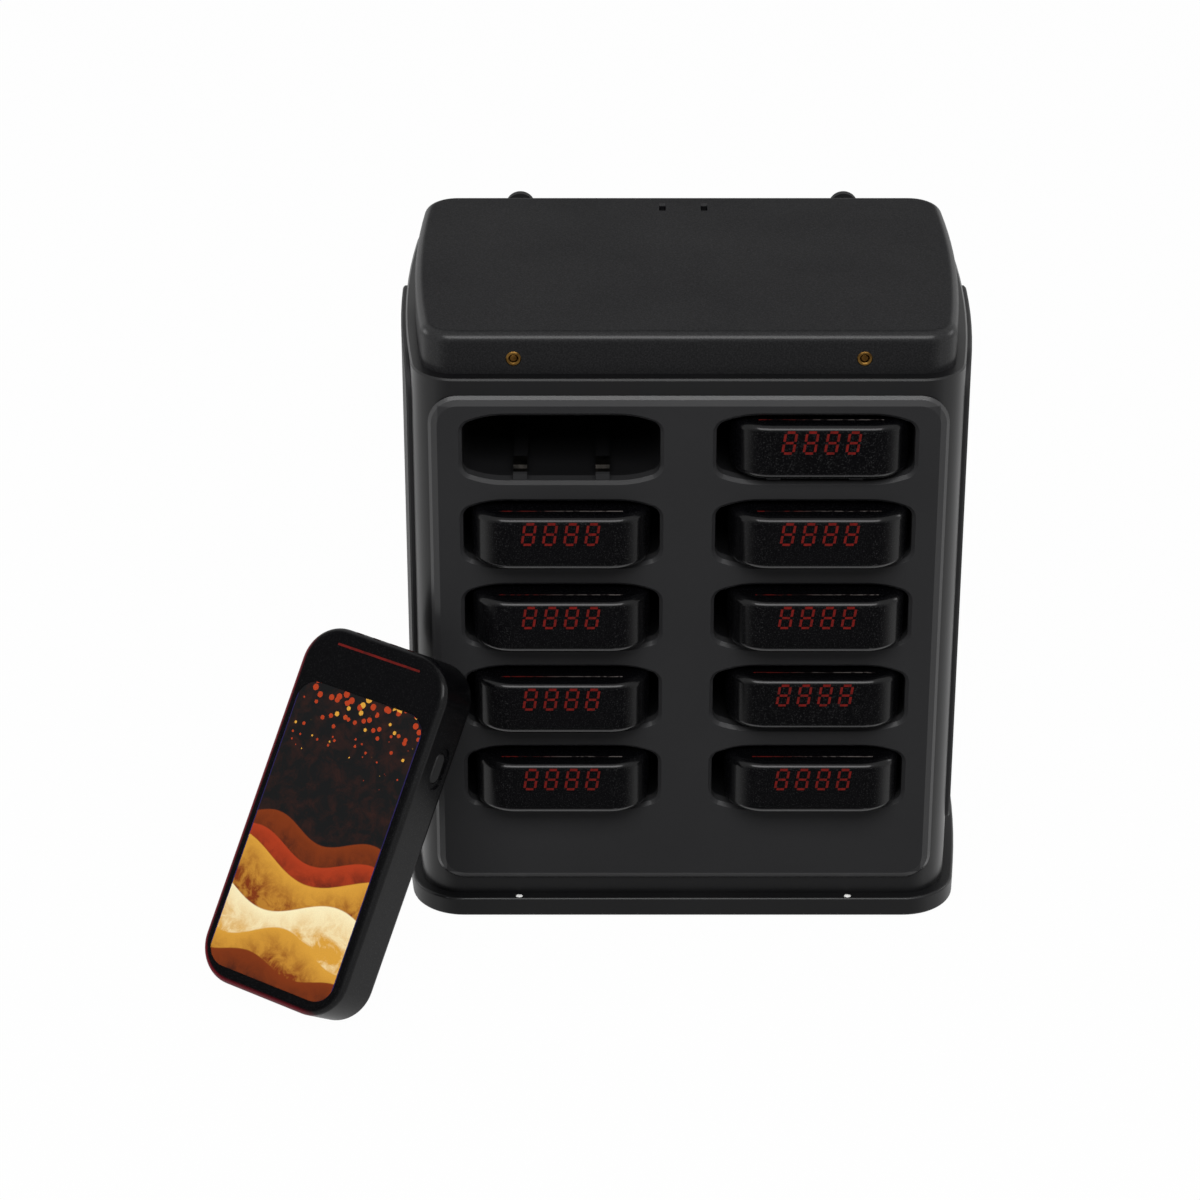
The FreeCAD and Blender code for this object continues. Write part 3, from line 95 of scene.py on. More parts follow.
def add_node(tree: Tree, kind: str, links: dict[str | int, Any] | None = None,
             **settings: Any) -> bpy.types.Node:
    """Add a shader node, set it up and link its inputs.

    Args:
        tree: The node tree that the node goes into.
        kind: The node's type, such as ShaderNodeMath.
        links: For each input, by name or number, a value or an output socket.
        **settings: Properties of the node, such as operation.

    Returns:
        The new node.
    """
    node = tree.nodes.new(kind)
    for name, setting in settings.items():
        setattr(node, name, setting)
    for name, source in (links or {}).items():
        if isinstance(source, Socket):
            tree.links.new(source, node.inputs[name])
        else:
            node.inputs[name].default_value = source
    return node


def per(size_mm: float) -> float:
    """Turn the real size of a pattern's feature into a texture's scale."""
    return 1 / (size_mm * MM)


def object_point(tree: Tree) -> Socket:
    """Give the Object coordinates."""
    return add_node(tree, "ShaderNodeTexCoord").outputs["Object"]


def surface_normal(tree: Tree) -> Socket:
    """Give the surface's own normal."""
    return add_node(tree, "ShaderNodeNewGeometry").outputs["Normal"]


def noise(tree: Tree, scale: float, detail: float = 2.0, roughness: float = 0.5,
          distortion: float = 0.0, source: Socket | None = None) -> Socket:
    """Give a cloudy noise.

    Args:
        tree: The node tree.
        scale: Lumps in one unit of the coordinates.
        detail: Number of finer layers.
        roughness: Strength of the finer layers.
        distortion: How far the noise is stirred.
        source: Coordinates, where they aren't the object's own.

    Returns:
        A value from 0 to 1.
    """
    return add_node(tree, "ShaderNodeTexNoise", {
        "Vector": object_point(tree) if source is None else source, "Scale": scale, "Detail": detail,
        "Roughness": roughness, "Distortion": distortion}).outputs["Fac"]


def mapped(tree: Tree, value: Socket, band: tuple[float, float] = (0.0, 1.0), low: float = 0.0,
           high: float = 1.0, smooth: bool = False) -> Socket:
    """Map a value's band onto another range, and hold it beyond both ends.

    Args:
        tree: The node tree.
        value: The value.
        band: Where the value starts and ends to count.
        low: Result at the band's start.
        high: Result at the band's end.
        smooth: Whether the result eases in and out.

    Returns:
        The result.
    """
    return add_node(tree, "ShaderNodeMapRange", {
        "Value": value, "From Min": band[0], "From Max": band[1], "To Min": low, "To Max": high},
        interpolation_type="SMOOTHSTEP" if smooth else "LINEAR").outputs["Result"]


def compute(tree: Tree, operation: str, *values: Any, clamp: bool = False) -> Socket:
    """Give the result of one calculation on sockets or numbers."""
    return add_node(tree, "ShaderNodeMath", dict(enumerate(values)), operation=operation,
                    use_clamp=clamp).outputs[0]


def blend(tree: Tree, share: Any, below: Any, above: Any, mode: str = "MIX") -> Socket:
    """Lay one colour over another.

    Args:
        tree: The node tree.
        share: How much of the upper colour shows.
        below: The lower colour, as a hex code or a socket.
        above: The upper colour, likewise.
        mode: How the upper colour is laid on.

    Returns:
        The colour.
    """
    first, second = (linear(tone) if isinstance(tone, str) else tone for tone in (below, above))
    return add_node(tree, "ShaderNodeMix", {"Factor": share, "A": first, "B": second},
                    data_type="RGBA", blend_type=mode).outputs["Result"]


def ramp(tree: Tree, factor: Socket, stops: list[tuple[float, str]]) -> Socket:
    """Map a factor onto colours.

    Args:
        tree: The node tree.
        factor: The socket that drives the ramp.
        stops: Pairs of a place from 0 to 1 and an sRGB hex colour, in order.

    Returns:
        The colour socket.
    """
    node = add_node(tree, "ShaderNodeValToRGB", {"Fac": factor})
    elements = node.color_ramp.elements
    for element, (place, code) in zip(list(elements), (stops[0], stops[-1])):
        element.position = place
        element.color = linear(code)
    for place, code in stops[1:-1]:
        elements.new(place).color = linear(code)
    return node.outputs["Color"]


def bump(tree: Tree, height: Socket, strength: float, depth_mm: float) -> Socket:
    """Give the normal of a surface that rises with a height, by a depth in millimetres."""
    return add_node(tree, "ShaderNodeBump", {
        "Height": height, "Strength": strength, "Distance": depth_mm * MM}).outputs["Normal"]


def shown_white(tree: Tree) -> Socket:
    """Give 1 for rays from the eye, a reflection or a clear part, and 0 for rays that only light."""
    path = add_node(tree, "ShaderNodeLightPath").outputs
    seen = compute(tree, "MAXIMUM", path["Is Camera Ray"], path["Is Glossy Ray"])
    return compute(tree, "MAXIMUM", seen, path["Is Transmission Ray"])


# ---------------------------------------------------------------- finishes


@dataclass(frozen=True)
class Finish:
    """A named procedural material. Each subclass says what goes into its shader."""

    name: str

    def make(self) -> bpy.types.Material:
        """Build the material.

        Returns:
            The finished material.
        """
        material = bpy.data.materials.new(self.name)
        material.use_nodes = True
        tree = material.node_tree
        tree.nodes.clear()
        add_node(tree, "ShaderNodeOutputMaterial", {"Surface": self.surface(tree)})
        return material

    def surface(self, tree: Tree) -> Socket:
        """Give the shader of the whole surface."""
        return add_node(tree, "ShaderNodeBsdfPrincipled", self.inputs(tree)).outputs["BSDF"]

    def inputs(self, tree: Tree) -> dict[str, Any]:
        """Give the principled shader's inputs, as values or sockets."""
        raise NotImplementedError


class Grain(Enum):
    """How the mould's surface was textured."""

    SATIN = "satin"
    LEATHER = "leather"


@dataclass(frozen=True)
class MouldedPlastic(Finish):
    """Injection-moulded ABS: a dark body colour, a mould texture and edges rubbed smooth by hands.

    The mould's texture breaks the gloss up, so the plastic reads as dark grey rather than black.
    Where an outline is given, as its span along X and along Z, edges near it are rubbed more.
    """

    colour: str
    worn: str
    roughness: float
    specular: float
    grain: Grain
    grain_mm: float
    depth_mm: float
    rubbed: float = 0.0
    sheen_mm: float = 38.0
    uneven: float = 0.04
    turned: tuple[float, float] = (0.99, 0.88)
    edge_roughness: float = 0.26
    outline: tuple[tuple[float, float], ...] = ()
    outer: float = 0.9
    brim_mm: float = 3.0
    brim_fade_mm: float = 0.3

    def inputs(self, tree: Tree) -> dict[str, Any]:
        """Give the principled shader's inputs, as values or sockets."""
        fine = noise(tree, per(self.grain_mm), 3.0, 0.6)
        broad = noise(tree, per(self.sheen_mm))
        if self.grain is Grain.LEATHER:
            cells = add_node(tree, "ShaderNodeTexVoronoi", {
                "Vector": object_point(tree), "Scale": per(self.grain_mm * 1.6)}, feature="SMOOTH_F1")
            texture = add_node(tree, "ShaderNodeMix", {
                "Factor": 0.55, "A": fine, "B": cells.outputs["Distance"]}).outputs["Result"]
            share = mapped(tree, fine, (0.42, 0.68))
        else:
            texture = fine
            share = mapped(tree, broad, (0.35, 0.7), high=0.5)
        given = {
            "Base Color": blend(tree, share, self.colour, self.worn),
            "Roughness": mapped(tree, broad, (0.3, 0.7), self.roughness - self.uneven,
                                self.roughness + self.uneven),
            "Normal": bump(tree, texture, 0.6, self.depth_mm),
            "Specular IOR Level": self.specular, "IOR": 1.5}
        if self.rubbed:
            given |= {"Coat Weight": self._edges(tree), "Coat Roughness": self.edge_roughness}
        return given

    def _edges(self, tree: Tree) -> Socket:
        """Give the polish that handling leaves on rounded edges: more as a face turns off the axes."""
        sizes = add_node(tree, "ShaderNodeVectorMath", {0: surface_normal(tree)}, operation="ABSOLUTE")
        parts = add_node(tree, "ShaderNodeSeparateXYZ", {0: sizes.outputs["Vector"]}).outputs
        widest = compute(tree, "MAXIMUM", compute(tree, "MAXIMUM", parts["X"], parts["Y"]), parts["Z"])
        most: float | Socket = self.rubbed
        if self.outline:
            most = mapped(tree, self._brim(tree), low=self.rubbed, high=self.outer)
        return compute(tree, "MULTIPLY", mapped(tree, widest, self.turned), most)

    def _brim(self, tree: Tree) -> Socket:
        """Give 1 within a brim along the outline's sides and 0 inside it."""
        place = add_node(tree, "ShaderNodeSeparateXYZ", {0: object_point(tree)}).outputs
        near = []
        for axis, (low, high) in zip("XZ", self.outline):
            out = compute(tree, "ABSOLUTE", compute(tree, "SUBTRACT", place[axis], (low + high) / 2))
            start = (high - low) / 2 - self.brim_mm * MM
            near.append(mapped(tree, out, (start, start + self.brim_fade_mm * MM)))
        return compute(tree, "MAXIMUM", *near)


@dataclass(frozen=True)
class SmokedAcrylic(Finish):
    """Smoked acrylic over black: a polished rim, and a finely grained window that shines far less.

    The window is where the surface faces along window_toward. Where it faces along a second given
    direction, a red glow is painted on as colour, standing in for light on that side. Bands are cosines of
    the angle from such a direction.
    """

    colour: str = "#020203"
    fleck: str = "#2c2c2d"
    fleck_mm: float = 0.38
    fleck_band: tuple[float, float] = (0.56, 0.68)
    rim_flecks: float = 0.2
    window_toward: tuple[float, float, float] = (0.0, -1.0, 0.0)
    window_band: tuple[float, float] = (0.72, 0.95)
    polish: float = 0.45
    low_polish: float = 0.0
    low_band: tuple[float, float] = (0.08, 0.28)
    painted_glow: str = "#6a101d"
    painted_glow_toward: tuple[float, float, float] = (0.0, 0.0, 1.0)
    painted_glow_band: tuple[float, float] = (0.08, 0.42)
    painted_glow_share: float = 0.0

    def inputs(self, tree: Tree) -> dict[str, Any]:
        """Give the principled shader's inputs, as values or sockets."""
        normal = surface_normal(tree)
        grain = mapped(tree, noise(tree, per(self.fleck_mm), roughness=0.8), self.fleck_band)
        window = self._facing(tree, normal, self.window_toward, self.window_band)
        flecks = compute(tree, "MULTIPLY", grain, mapped(tree, window, low=self.rim_flecks))
        colour = blend(tree, flecks, self.colour, self.fleck)
        # Painted red glow: the side of the rim that faces the given direction is coloured red, standing in
        # for light.
        if self.painted_glow_share:
            rim = self._facing(tree, normal, self.painted_glow_toward, self.painted_glow_band, high=self.painted_glow_share)
            colour = blend(tree, rim, colour, self.painted_glow)
        coat = self._facing(tree, normal, self.window_toward, self.window_band, self.polish, 0.0)
        if self.low_polish:
            below = self._facing(tree, normal, (0.0, 0.0, -1.0), self.low_band, high=self.low_polish)
            coat = compute(tree, "MAXIMUM", coat, below)
        return {
            "Base Color": colour, "Roughness": 0.5, "Normal": bump(tree, flecks, 0.3, 0.02),
            "Specular IOR Level": 0.03, "Coat Weight": coat, "Coat Roughness": 0.16, "Coat IOR": 1.49}

    @staticmethod
    def _facing(tree: Tree, normal: Socket, toward: tuple[float, float, float],
                band: tuple[float, float], low: float = 0.0, high: float = 1.0) -> Socket:
        """Give a share that changes as the surface turns towards a fixed direction of the object.

        Args:
            tree: The node tree.
            normal: The surface's normal.
            toward: The direction.
            band: Where the share starts and ends to change, as cosines of the angle.
            low: The share away from that direction.
            high: The share towards it.

        Returns:
            The share.
        """
        facing = add_node(tree, "ShaderNodeVectorMath", {0: normal, 1: toward}, operation="DOT_PRODUCT")
        return mapped(tree, facing.outputs["Value"], band, low, high, smooth=True)


@dataclass(frozen=True)
class Elastomer(Finish):
    """Moulded rubber: dull, with a faint chalky bloom and fine pits."""

    colour: str
    bloom: str
    roughness: float = 0.72
    specular: float = 0.25
    bloom_mm: float = 9.0
    pit_mm: float = 0.5

    def inputs(self, tree: Tree) -> dict[str, Any]:
        """Give the principled shader's inputs, as values or sockets."""
        share = mapped(tree, noise(tree, per(self.bloom_mm), 4.0), (0.4, 0.75), high=0.6)
        return {
            "Base Color": blend(tree, share, self.colour, self.bloom), "Roughness": self.roughness,
            "Normal": bump(tree, noise(tree, per(self.pit_mm)), 0.5, 0.04),
            "Specular IOR Level": self.specular}


@dataclass(frozen=True)
class TurnedMetal(Finish):
    """Turned or stamped metal: a bright base with fine tool lines and a patchy tarnish."""

    colour: str
    tarnish: str
    roughness: float
    line_mm: float = 0.25
    line_turn: float = 6.28
    patch_mm: float = 2.5

    def inputs(self, tree: Tree) -> dict[str, Any]:
        """Give the principled shader's inputs, as values or sockets."""
        lines = add_node(tree, "ShaderNodeTexWave", {
            "Vector": object_point(tree), "Scale": per(self.line_mm) / self.line_turn,
            "Distortion": 1.5}, bands_direction="DIAGONAL")
        share = mapped(tree, noise(tree, per(self.patch_mm), 3.0), (0.35, 0.7))
        return {
            "Base Color": blend(tree, share, self.colour, self.tarnish), "Roughness": self.roughness,
            "Metallic": 1.0, "Normal": bump(tree, lines.outputs["Fac"], 0.3, 0.02)}


@dataclass(frozen=True)
class SolderMask(Finish):
    """Circuit board: green mask with paler tracks raised under it."""

    mask: str = "#0d3a20"
    track: str = "#1c5a34"
    pitch_mm: float = 3.2

    def inputs(self, tree: Tree) -> dict[str, Any]:
        """Give the principled shader's inputs, as values or sockets."""
        cells = add_node(tree, "ShaderNodeTexVoronoi", {
            "Vector": object_point(tree), "Scale": per(self.pitch_mm)}, distance="MANHATTAN")
        edge = mapped(tree, cells.outputs["Distance"], (0.42, 0.5))
        return {
            "Base Color": blend(tree, edge, self.mask, self.track), "Roughness": 0.32,
            "Normal": bump(tree, edge, 0.4, 0.03)}


@dataclass(frozen=True)
class LitFigures(Finish):
    """Light behind smoked acrylic: a dull colour with a faint glow, uneven as such light is.

    A broken line reads its own UV map and goes from red at one end to a pale dotted one.
    """

    colour: str = "#60110d"
    deep: str = "#450d0a"
    glow: float = 0.24
    dot_mm: float = 0.8
    broken: bool = False

    def inputs(self, tree: Tree) -> dict[str, Any]:
        """Give the principled shader's inputs, as values or sockets."""
        band = (0.47, 0.56) if self.broken else (0.35, 0.75)
        bright: str | Socket = self.colour
        if self.broken:
            uv = add_node(tree, "ShaderNodeTexCoord").outputs["UV"]
            along = add_node(tree, "ShaderNodeSeparateXYZ", {0: uv}).outputs["X"]
            bright = ramp(tree, along, [
                (0.0, "#520e0b"), (0.3, "#371210"), (0.5, "#403b39"), (1.0, self.colour)])
        colour = blend(tree, mapped(tree, noise(tree, per(self.dot_mm)), band), bright, self.deep)
        return {
            "Base Color": colour, "Roughness": 0.5, "Specular IOR Level": 0.08,
            "Emission Color": colour, "Emission Strength": self.glow}


class Ink(str, Enum):
    """Colours of the label card's print."""

    CHARCOAL = "#0b0c0d"
    SMOKE = "#2a1612"
    RUST = "#7a3312"
    EMBER = "#a83a1c"
    GOLD = "#d39a3a"
    CREAM = "#f6e9bd"
    VIOLET = "#221c48"


@dataclass(frozen=True)
class Wave:
    """One printed wave: everything under its line has its colour, mottled with another.

    Heights are shares of the card's length, turns are waves across it, and start is in radians.
    """

    level: float
    swing: float
    turns: float
    start: float
    colour: Ink
    mottle: Ink


@dataclass(frozen=True)
class PrintedCard(Finish):
    """Satin printed card: a charcoal ground, plain warm waves below and a scatter of dots above.

    The card's own UV map runs from 0 to 1 across it and from 0 to 1 from its lower to its upper end.
    """

    wide_mm: float = 45.4
    long_mm: float = 88.0
    edge_mm: float = 0.35
    dot_mm: float = 2.2
    dots_from: float = 0.66
    dots_kept: float = 0.62
    fade: float = 0.14
    soft: float = 0.002
    waves: tuple[Wave, ...] = (
        Wave(0.52, 0.03, 1.3, 0.2, Ink.RUST, Ink.CHARCOAL),
        Wave(0.45, 0.035, 1.1, 1.1, Ink.EMBER, Ink.CHARCOAL),
        Wave(0.4, 0.05, 0.8, 2.0, Ink.GOLD, Ink.RUST),
        Wave(0.27, 0.045, 0.9, 3.1, Ink.CREAM, Ink.GOLD),
        Wave(0.15, 0.04, 1.1, 4.3, Ink.GOLD, Ink.RUST),
        Wave(0.06, 0.02, 1.4, 5.2, Ink.RUST, Ink.CHARCOAL))

    def inputs(self, tree: Tree) -> dict[str, Any]:
        """Give the principled shader's inputs, as values or sockets."""
        uv = add_node(tree, "ShaderNodeTexCoord").outputs["UV"]
        place = add_node(tree, "ShaderNodeSeparateXYZ", {0: uv}).outputs
        card_mm = add_node(tree, "ShaderNodeVectorMath", {0: uv, 1: (self.wide_mm, self.long_mm, 1.0)},
                           operation="MULTIPLY").outputs["Vector"]
        wash = noise(tree, 0.17, 6.0, 0.7, 0.5, card_mm)
        colour = blend(tree, mapped(tree, wash, (0.45, 0.7)), Ink.CHARCOAL, Ink.SMOKE)
        colour = self._scatter(tree, card_mm, place["Y"], colour)
        for wave in self.waves:
            colour = self._wave(tree, place, wash, colour, wave)
        out = compute(tree, "ABSOLUTE", compute(tree, "SUBTRACT", place["X"], 0.5))
        brink = 0.5 - self.edge_mm / self.wide_mm
        colour = blend(tree, mapped(tree, out, (brink, brink + self.soft)), colour, Ink.VIOLET)
        shade = mapped(tree, noise(tree, 3.0, 3.0, source=card_mm), low=0.86, high=1.1)
        return {
            "Base Color": blend(tree, 1.0, colour, shade, "MULTIPLY"), "Roughness": 0.38,
            "Specular IOR Level": 0.08}

    def _wave(self, tree: Tree, place: Any, wash: Socket, below: Socket, wave: Wave) -> Socket:
        """Lay a mottled colour under a wavy line.

        Args:
            tree: The node tree.
            place: Outputs of the UV map's Separate XYZ node.
            wash: Noise that mottles the colour.
            below: Colour so far.
            wave: The wave.

        Returns:
            The new colour.
        """
        phase = compute(tree, "MULTIPLY_ADD", place["X"], wave.turns * math.tau, wave.start)
        line = compute(tree, "MULTIPLY_ADD", compute(tree, "SINE", phase), wave.swing, wave.level)
        under = compute(tree, "SUBTRACT", line, place["Y"])
        depth = mapped(tree, under, (0.0, self.fade))
        patch = compute(tree, "MULTIPLY", mapped(tree, wash, (0.4, 0.64)), depth)
        share = compute(tree, "MULTIPLY_ADD", depth, 0.45, patch, clamp=True)
        mottled = blend(tree, share, wave.colour, wave.mottle)
        return blend(tree, mapped(tree, under, (-self.soft, self.soft)), below, mottled)

    def _scatter(self, tree: Tree, card_mm: Socket, height: Socket, below: Socket) -> Socket:
        """Scatter small dots over the card's upper end, thinning out downwards.

        Args:
            tree: The node tree.
            card_mm: Place on the card in millimetres.
            height: Place up the card, from 0 to 1.
            below: Colour so far.

        Returns:
            The new colour.
        """
        cells = add_node(tree, "ShaderNodeTexVoronoi", {"Vector": card_mm, "Scale": 1 / self.dot_mm}).outputs
        pick = add_node(tree, "ShaderNodeSeparateColor", {0: cells["Color"]}).outputs
        reach = mapped(tree, height, (self.dots_from, 1.0), -0.05, 0.5)
        dots = mapped(tree, compute(tree, "SUBTRACT", reach, cells["Distance"]), (0.0, 0.03))
        share = compute(tree, "MULTIPLY", dots, compute(tree, "LESS_THAN", pick[0], self.dots_kept))
        return blend(tree, share, below, blend(tree, mapped(tree, pick[1], (0.7, 0.75)), Ink.EMBER, Ink.GOLD))


@dataclass(frozen=True)
class StudioPaper(Finish):
    """Matt white paper that keeps the shadow and shows plain white to the eye and in reflections."""

    shade: str = "#bababa"
    sheet: str = "#c2c2c2"
    fibre_mm: float = 2.5
    white_share: float = 0.985

    def surface(self, tree: Tree) -> Socket:
        """Give the shader of the whole surface."""
        tone = ramp(tree, noise(tree, per(self.fibre_mm)), [(0.0, self.shade), (1.0, self.sheet)])
        paper = add_node(tree, "ShaderNodeBsdfDiffuse", {"Color": tone})
        white = add_node(tree, "ShaderNodeEmission", {"Color": linear("#ffffff"), "Strength": 1.0})
        share = compute(tree, "MULTIPLY", shown_white(tree), self.white_share)
        return add_node(tree, "ShaderNodeMixShader", {
            0: share, 1: paper.outputs[0], 2: white.outputs[0]}).outputs[0]


# ---------------------------------------------------------------- mesh helpers


def finish_mesh(name: str, mesh: bmesh.types.BMesh, material: bpy.types.Material,
                smooth: bool = False) -> bpy.types.Object:
    """Turn a bmesh into an object at the origin.

    Args:
        name: The piece's name.
        mesh: The bmesh, with its place in its vertices. It is freed.
        material: The piece's finish.
        smooth: Whether its faces are smooth.

    Returns:
        The linked object.
    """
    bmesh.ops.remove_doubles(mesh, verts=mesh.verts, dist=WELD)
    bmesh.ops.recalc_face_normals(mesh, faces=mesh.faces)
    for face in mesh.faces:
        face.smooth = smooth
    data = bpy.data.meshes.new(name)
    mesh.to_mesh(data)
    mesh.free()
    data.materials.append(material)
    piece = bpy.data.objects.new(name, data)
    bpy.context.scene.collection.objects.link(piece)
    return piece


def fix_on_base(name: str, mesh: bmesh.types.BMesh, material: bpy.types.Material,
                smooth: bool = False) -> None:
    """Finish a piece that rides on the base.

    Args:
        name: The piece's name.
        mesh: Its bmesh.
        material: Its finish.
        smooth: Whether its faces are smooth.
    """
    piece = finish_mesh(name, mesh, material, smooth)
    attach(piece, "base")
    LOG.info("built %s", name)


def dress(frame: dict[str, Any], finishes: dict[str, bpy.types.Material]) -> None:
    """Give solids of the frame their finishes.

    Args:
        finishes: Finish by the solid's name.
    """
    for node, material in finishes.items():
        solid = frame["nodes"][node]
        if not solid.material_slots:
            solid.data.materials.append(material)
        for slot in solid.material_slots:
            slot.material = material


def flat_rectangle(mesh: bmesh.types.BMesh, wide: float, long: float) -> list[bmesh.types.BMVert]:
    """Add a flat rectangle, centred on the origin, lying on Z = 0, and give its corners."""
    corner_verts = bmesh.ops.create_grid(mesh, x_segments=1, y_segments=1, size=0.5)["verts"]
    bmesh.ops.scale(mesh, vec=(wide, long, 1), verts=corner_verts)
    return corner_verts


def soften(mesh: bmesh.types.BMesh, geometry: list[Any], size: float, segments: int,
           affect: str) -> None:
    """Round corners or edges off.

    Args:
        mesh: The bmesh.
        geometry: The vertices or edges.
        size: How far the rounding reaches, in metres.
        segments: Number of steps in it.
        affect: VERTICES or EDGES.
    """
    bmesh.ops.bevel(mesh, geom=geometry, offset=size, segments=segments, profile=0.5, material=-1,
                    affect=affect)


def raise_faces(mesh: bmesh.types.BMesh, thick: float) -> None:
    """Turn flat faces that lie in an XY plane into closed plates.

    Args:
        mesh: The bmesh that holds only them.
        thick: Thickness upwards in metres.
    """
    grown = bmesh.ops.extrude_face_region(mesh, geom=list(mesh.faces), use_keep_orig=True)
    lifted = [item for item in grown["geom"] if isinstance(item, bmesh.types.BMVert)]
    bmesh.ops.translate(mesh, vec=(0, 0, thick), verts=lifted)


def unwrap(mesh: bmesh.types.BMesh, wide: float, long: float, sense: int) -> None:
    """Give a flat plate a UV map from 0 to 1 along both its sides.

    Args:
        mesh: The plate's bmesh.
        wide: Its size along X in metres.
        long: Its size along Y in metres.
        sense: Whether the map runs along the plate's axes, 1, or against them, -1.
    """
    layer = mesh.loops.layers.uv.new("plate")
    for face in mesh.faces:
        for loop in face.loops:
            point = loop.vert.co
            loop[layer].uv = (0.5 + sense * point.x / wide, 0.5 + sense * point.y / long)


def quarter_turn(axis: str, turns: int = 1) -> Matrix:
    """Give a turn by quarters about an axis."""
    return Matrix.Rotation(math.radians(90 * turns), 4, axis)


# ---------------------------------------------------------------- sub-assemblies


@dataclass(frozen=True)
class Lamp:
    """A softbox that is aimed at the object's middle."""

    name: str
    place: tuple[float, float, float]
    wide: float
    tall: float
    watts: float
    aim: tuple[float, float, float] = (0.0, 0.0, 0.1)

    def build(self) -> None:
        """Hang the lamp."""
        data = bpy.data.lights.new(self.name, "AREA")
        data.shape = "RECTANGLE"
        data.size = self.wide
        data.size_y = self.tall
        data.energy = self.watts
        lamp = bpy.data.objects.new(self.name, data)
        lamp.location = self.place
        lamp.rotation_euler = (Vector(self.aim) - Vector(self.place)).to_track_quat("-Z", "Y").to_euler()
        bpy.context.scene.collection.objects.link(lamp)


@dataclass
class Studio:
    """White sweep, soft lamps and the camera."""

    eye: tuple[float, float, float] = (-0.0254, -1.0801, 0.6522)
    pitch_deg: float = 62.0
    lens_mm: float = 118.5
    sensor_mm: float = 36.0
    floor_size: float = 6.0
    floor_level: float = -0.2 * MM
    world_strength: float = 0.18
    lamps: tuple[Lamp, ...] = (
        Lamp("key", (0.0, -0.85, 1.05), 1.4, 0.55, 18.0),
        Lamp("left", (-1.25, 0.45, 0.4), 0.5, 0.5, 3.0),
        Lamp("right", (1.25, 0.3, 0.45), 0.5, 0.5, 3.0))

    def build(self) -> None:
        """Make the stage, the light and the camera."""
        self._camera()
        self._floor()
        self._world()
        for lamp in self.lamps:
            lamp.build()

    def _camera(self) -> None:
        """Aim the camera slightly down at the front."""
        data = bpy.data.cameras.new("camera")
        data.lens = self.lens_mm
        data.sensor_width = self.sensor_mm
        camera = bpy.data.objects.new("camera", data)
        camera.location = self.eye
        camera.rotation_euler = (math.radians(self.pitch_deg), 0.0, 0.0)
        bpy.context.scene.collection.objects.link(camera)
        bpy.context.scene.camera = camera

    def _floor(self) -> None:
        """Lay a large sheet of paper under the feet."""
        mesh = bmesh.new()
        bmesh.ops.create_grid(mesh, x_segments=1, y_segments=1, size=self.floor_size / 2)
        bmesh.ops.translate(mesh, vec=(0, 0, self.floor_level), verts=mesh.verts)
        finish_mesh("floor", mesh, StudioPaper("studio_paper").make())

    def _world(self) -> None:
        """Light everything evenly, and show plain white to the eye and in reflections."""
        world = bpy.data.worlds.new("studio")
        world.use_nodes = True
        tree = world.node_tree
        tree.nodes.clear()
        light = add_node(tree, "ShaderNodeBackground", {
            "Color": linear("#ffffff"),
            "Strength": mapped(tree, shown_white(tree), low=self.world_strength)})
        add_node(tree, "ShaderNodeOutputWorld", {"Surface": light.outputs[0]})
        bpy.context.scene.world = world


@dataclass
class Housing:
    """Shell, rear cover, fascia, cap, plinth and grip pads."""

    frame: dict[str, Any]
    shell: Finish = MouldedPlastic(
        "abs_shell_satin", "#0f0f10", "#151516", 0.35, 0.14, Grain.SATIN, 0.5, 0.02, 0.3)
    fascia: Finish = MouldedPlastic(
        "abs_fascia_satin", "#282829", "#2c2c2d", 0.4, 0.04, Grain.SATIN, 0.45, 0.012, 0.16)
    lid: Finish = MouldedPlastic(
        "abs_cap_leather_grain", "#1a1a1b", "#272728", 0.5, 0.02, Grain.LEATHER, 0.45, 0.04, 0.34)
    foot_plate: Finish = MouldedPlastic(
        "abs_plinth_satin", "#0e0e0f", "#141415", 0.4, 0.15, Grain.SATIN, 0.5, 0.02, 0.2)
    grip: Finish = Elastomer("tpe_grip_pad", "#101011", "#17171a", 0.6)
    pin: Finish = MouldedPlastic("nylon_pin", "#d8d8d6", "#f2f2f0", 0.5, 0.3, Grain.SATIN, 0.4, 0.01)
    pin_radius: float = 1.1 * MM
    pin_squash: tuple[float, float, float] = (1.0, 0.7, 0.4)
    pin_apart: float = 100.0 * MM
    pin_front: float = -59.4 * MM

    def build(self) -> None:
        """Dress the solids and add the pin heads."""
        shell = self.shell.make()
        low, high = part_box("front_panel")
        fascia = replace(self.fascia, outline=((low.x, high.x), (low.z, high.z)))
        dress(self.frame, {
            "body_shell": shell, "rear_cover": shell, "front_panel": fascia.make(),
            "top_cap": self.lid.make(), "plinth": self.foot_plate.make(), "side_pads": self.grip.make()})
        self._pins()

    def _pins(self) -> None:
        """Set two pale pin heads on the plinth's front ledge."""
        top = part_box("plinth")[1].z
        material = self.pin.make()
        for name, side in (("pin_left", -1), ("pin_right", 1)):
            mesh = bmesh.new()
            bmesh.ops.create_uvsphere(mesh, u_segments=20, v_segments=10, radius=self.pin_radius)
            bmesh.ops.scale(mesh, vec=self.pin_squash, verts=mesh.verts)
            bmesh.ops.translate(mesh, vec=(side * self.pin_apart / 2, self.pin_front, top), verts=mesh.verts)
            fix_on_base(name, mesh, material, smooth=True)


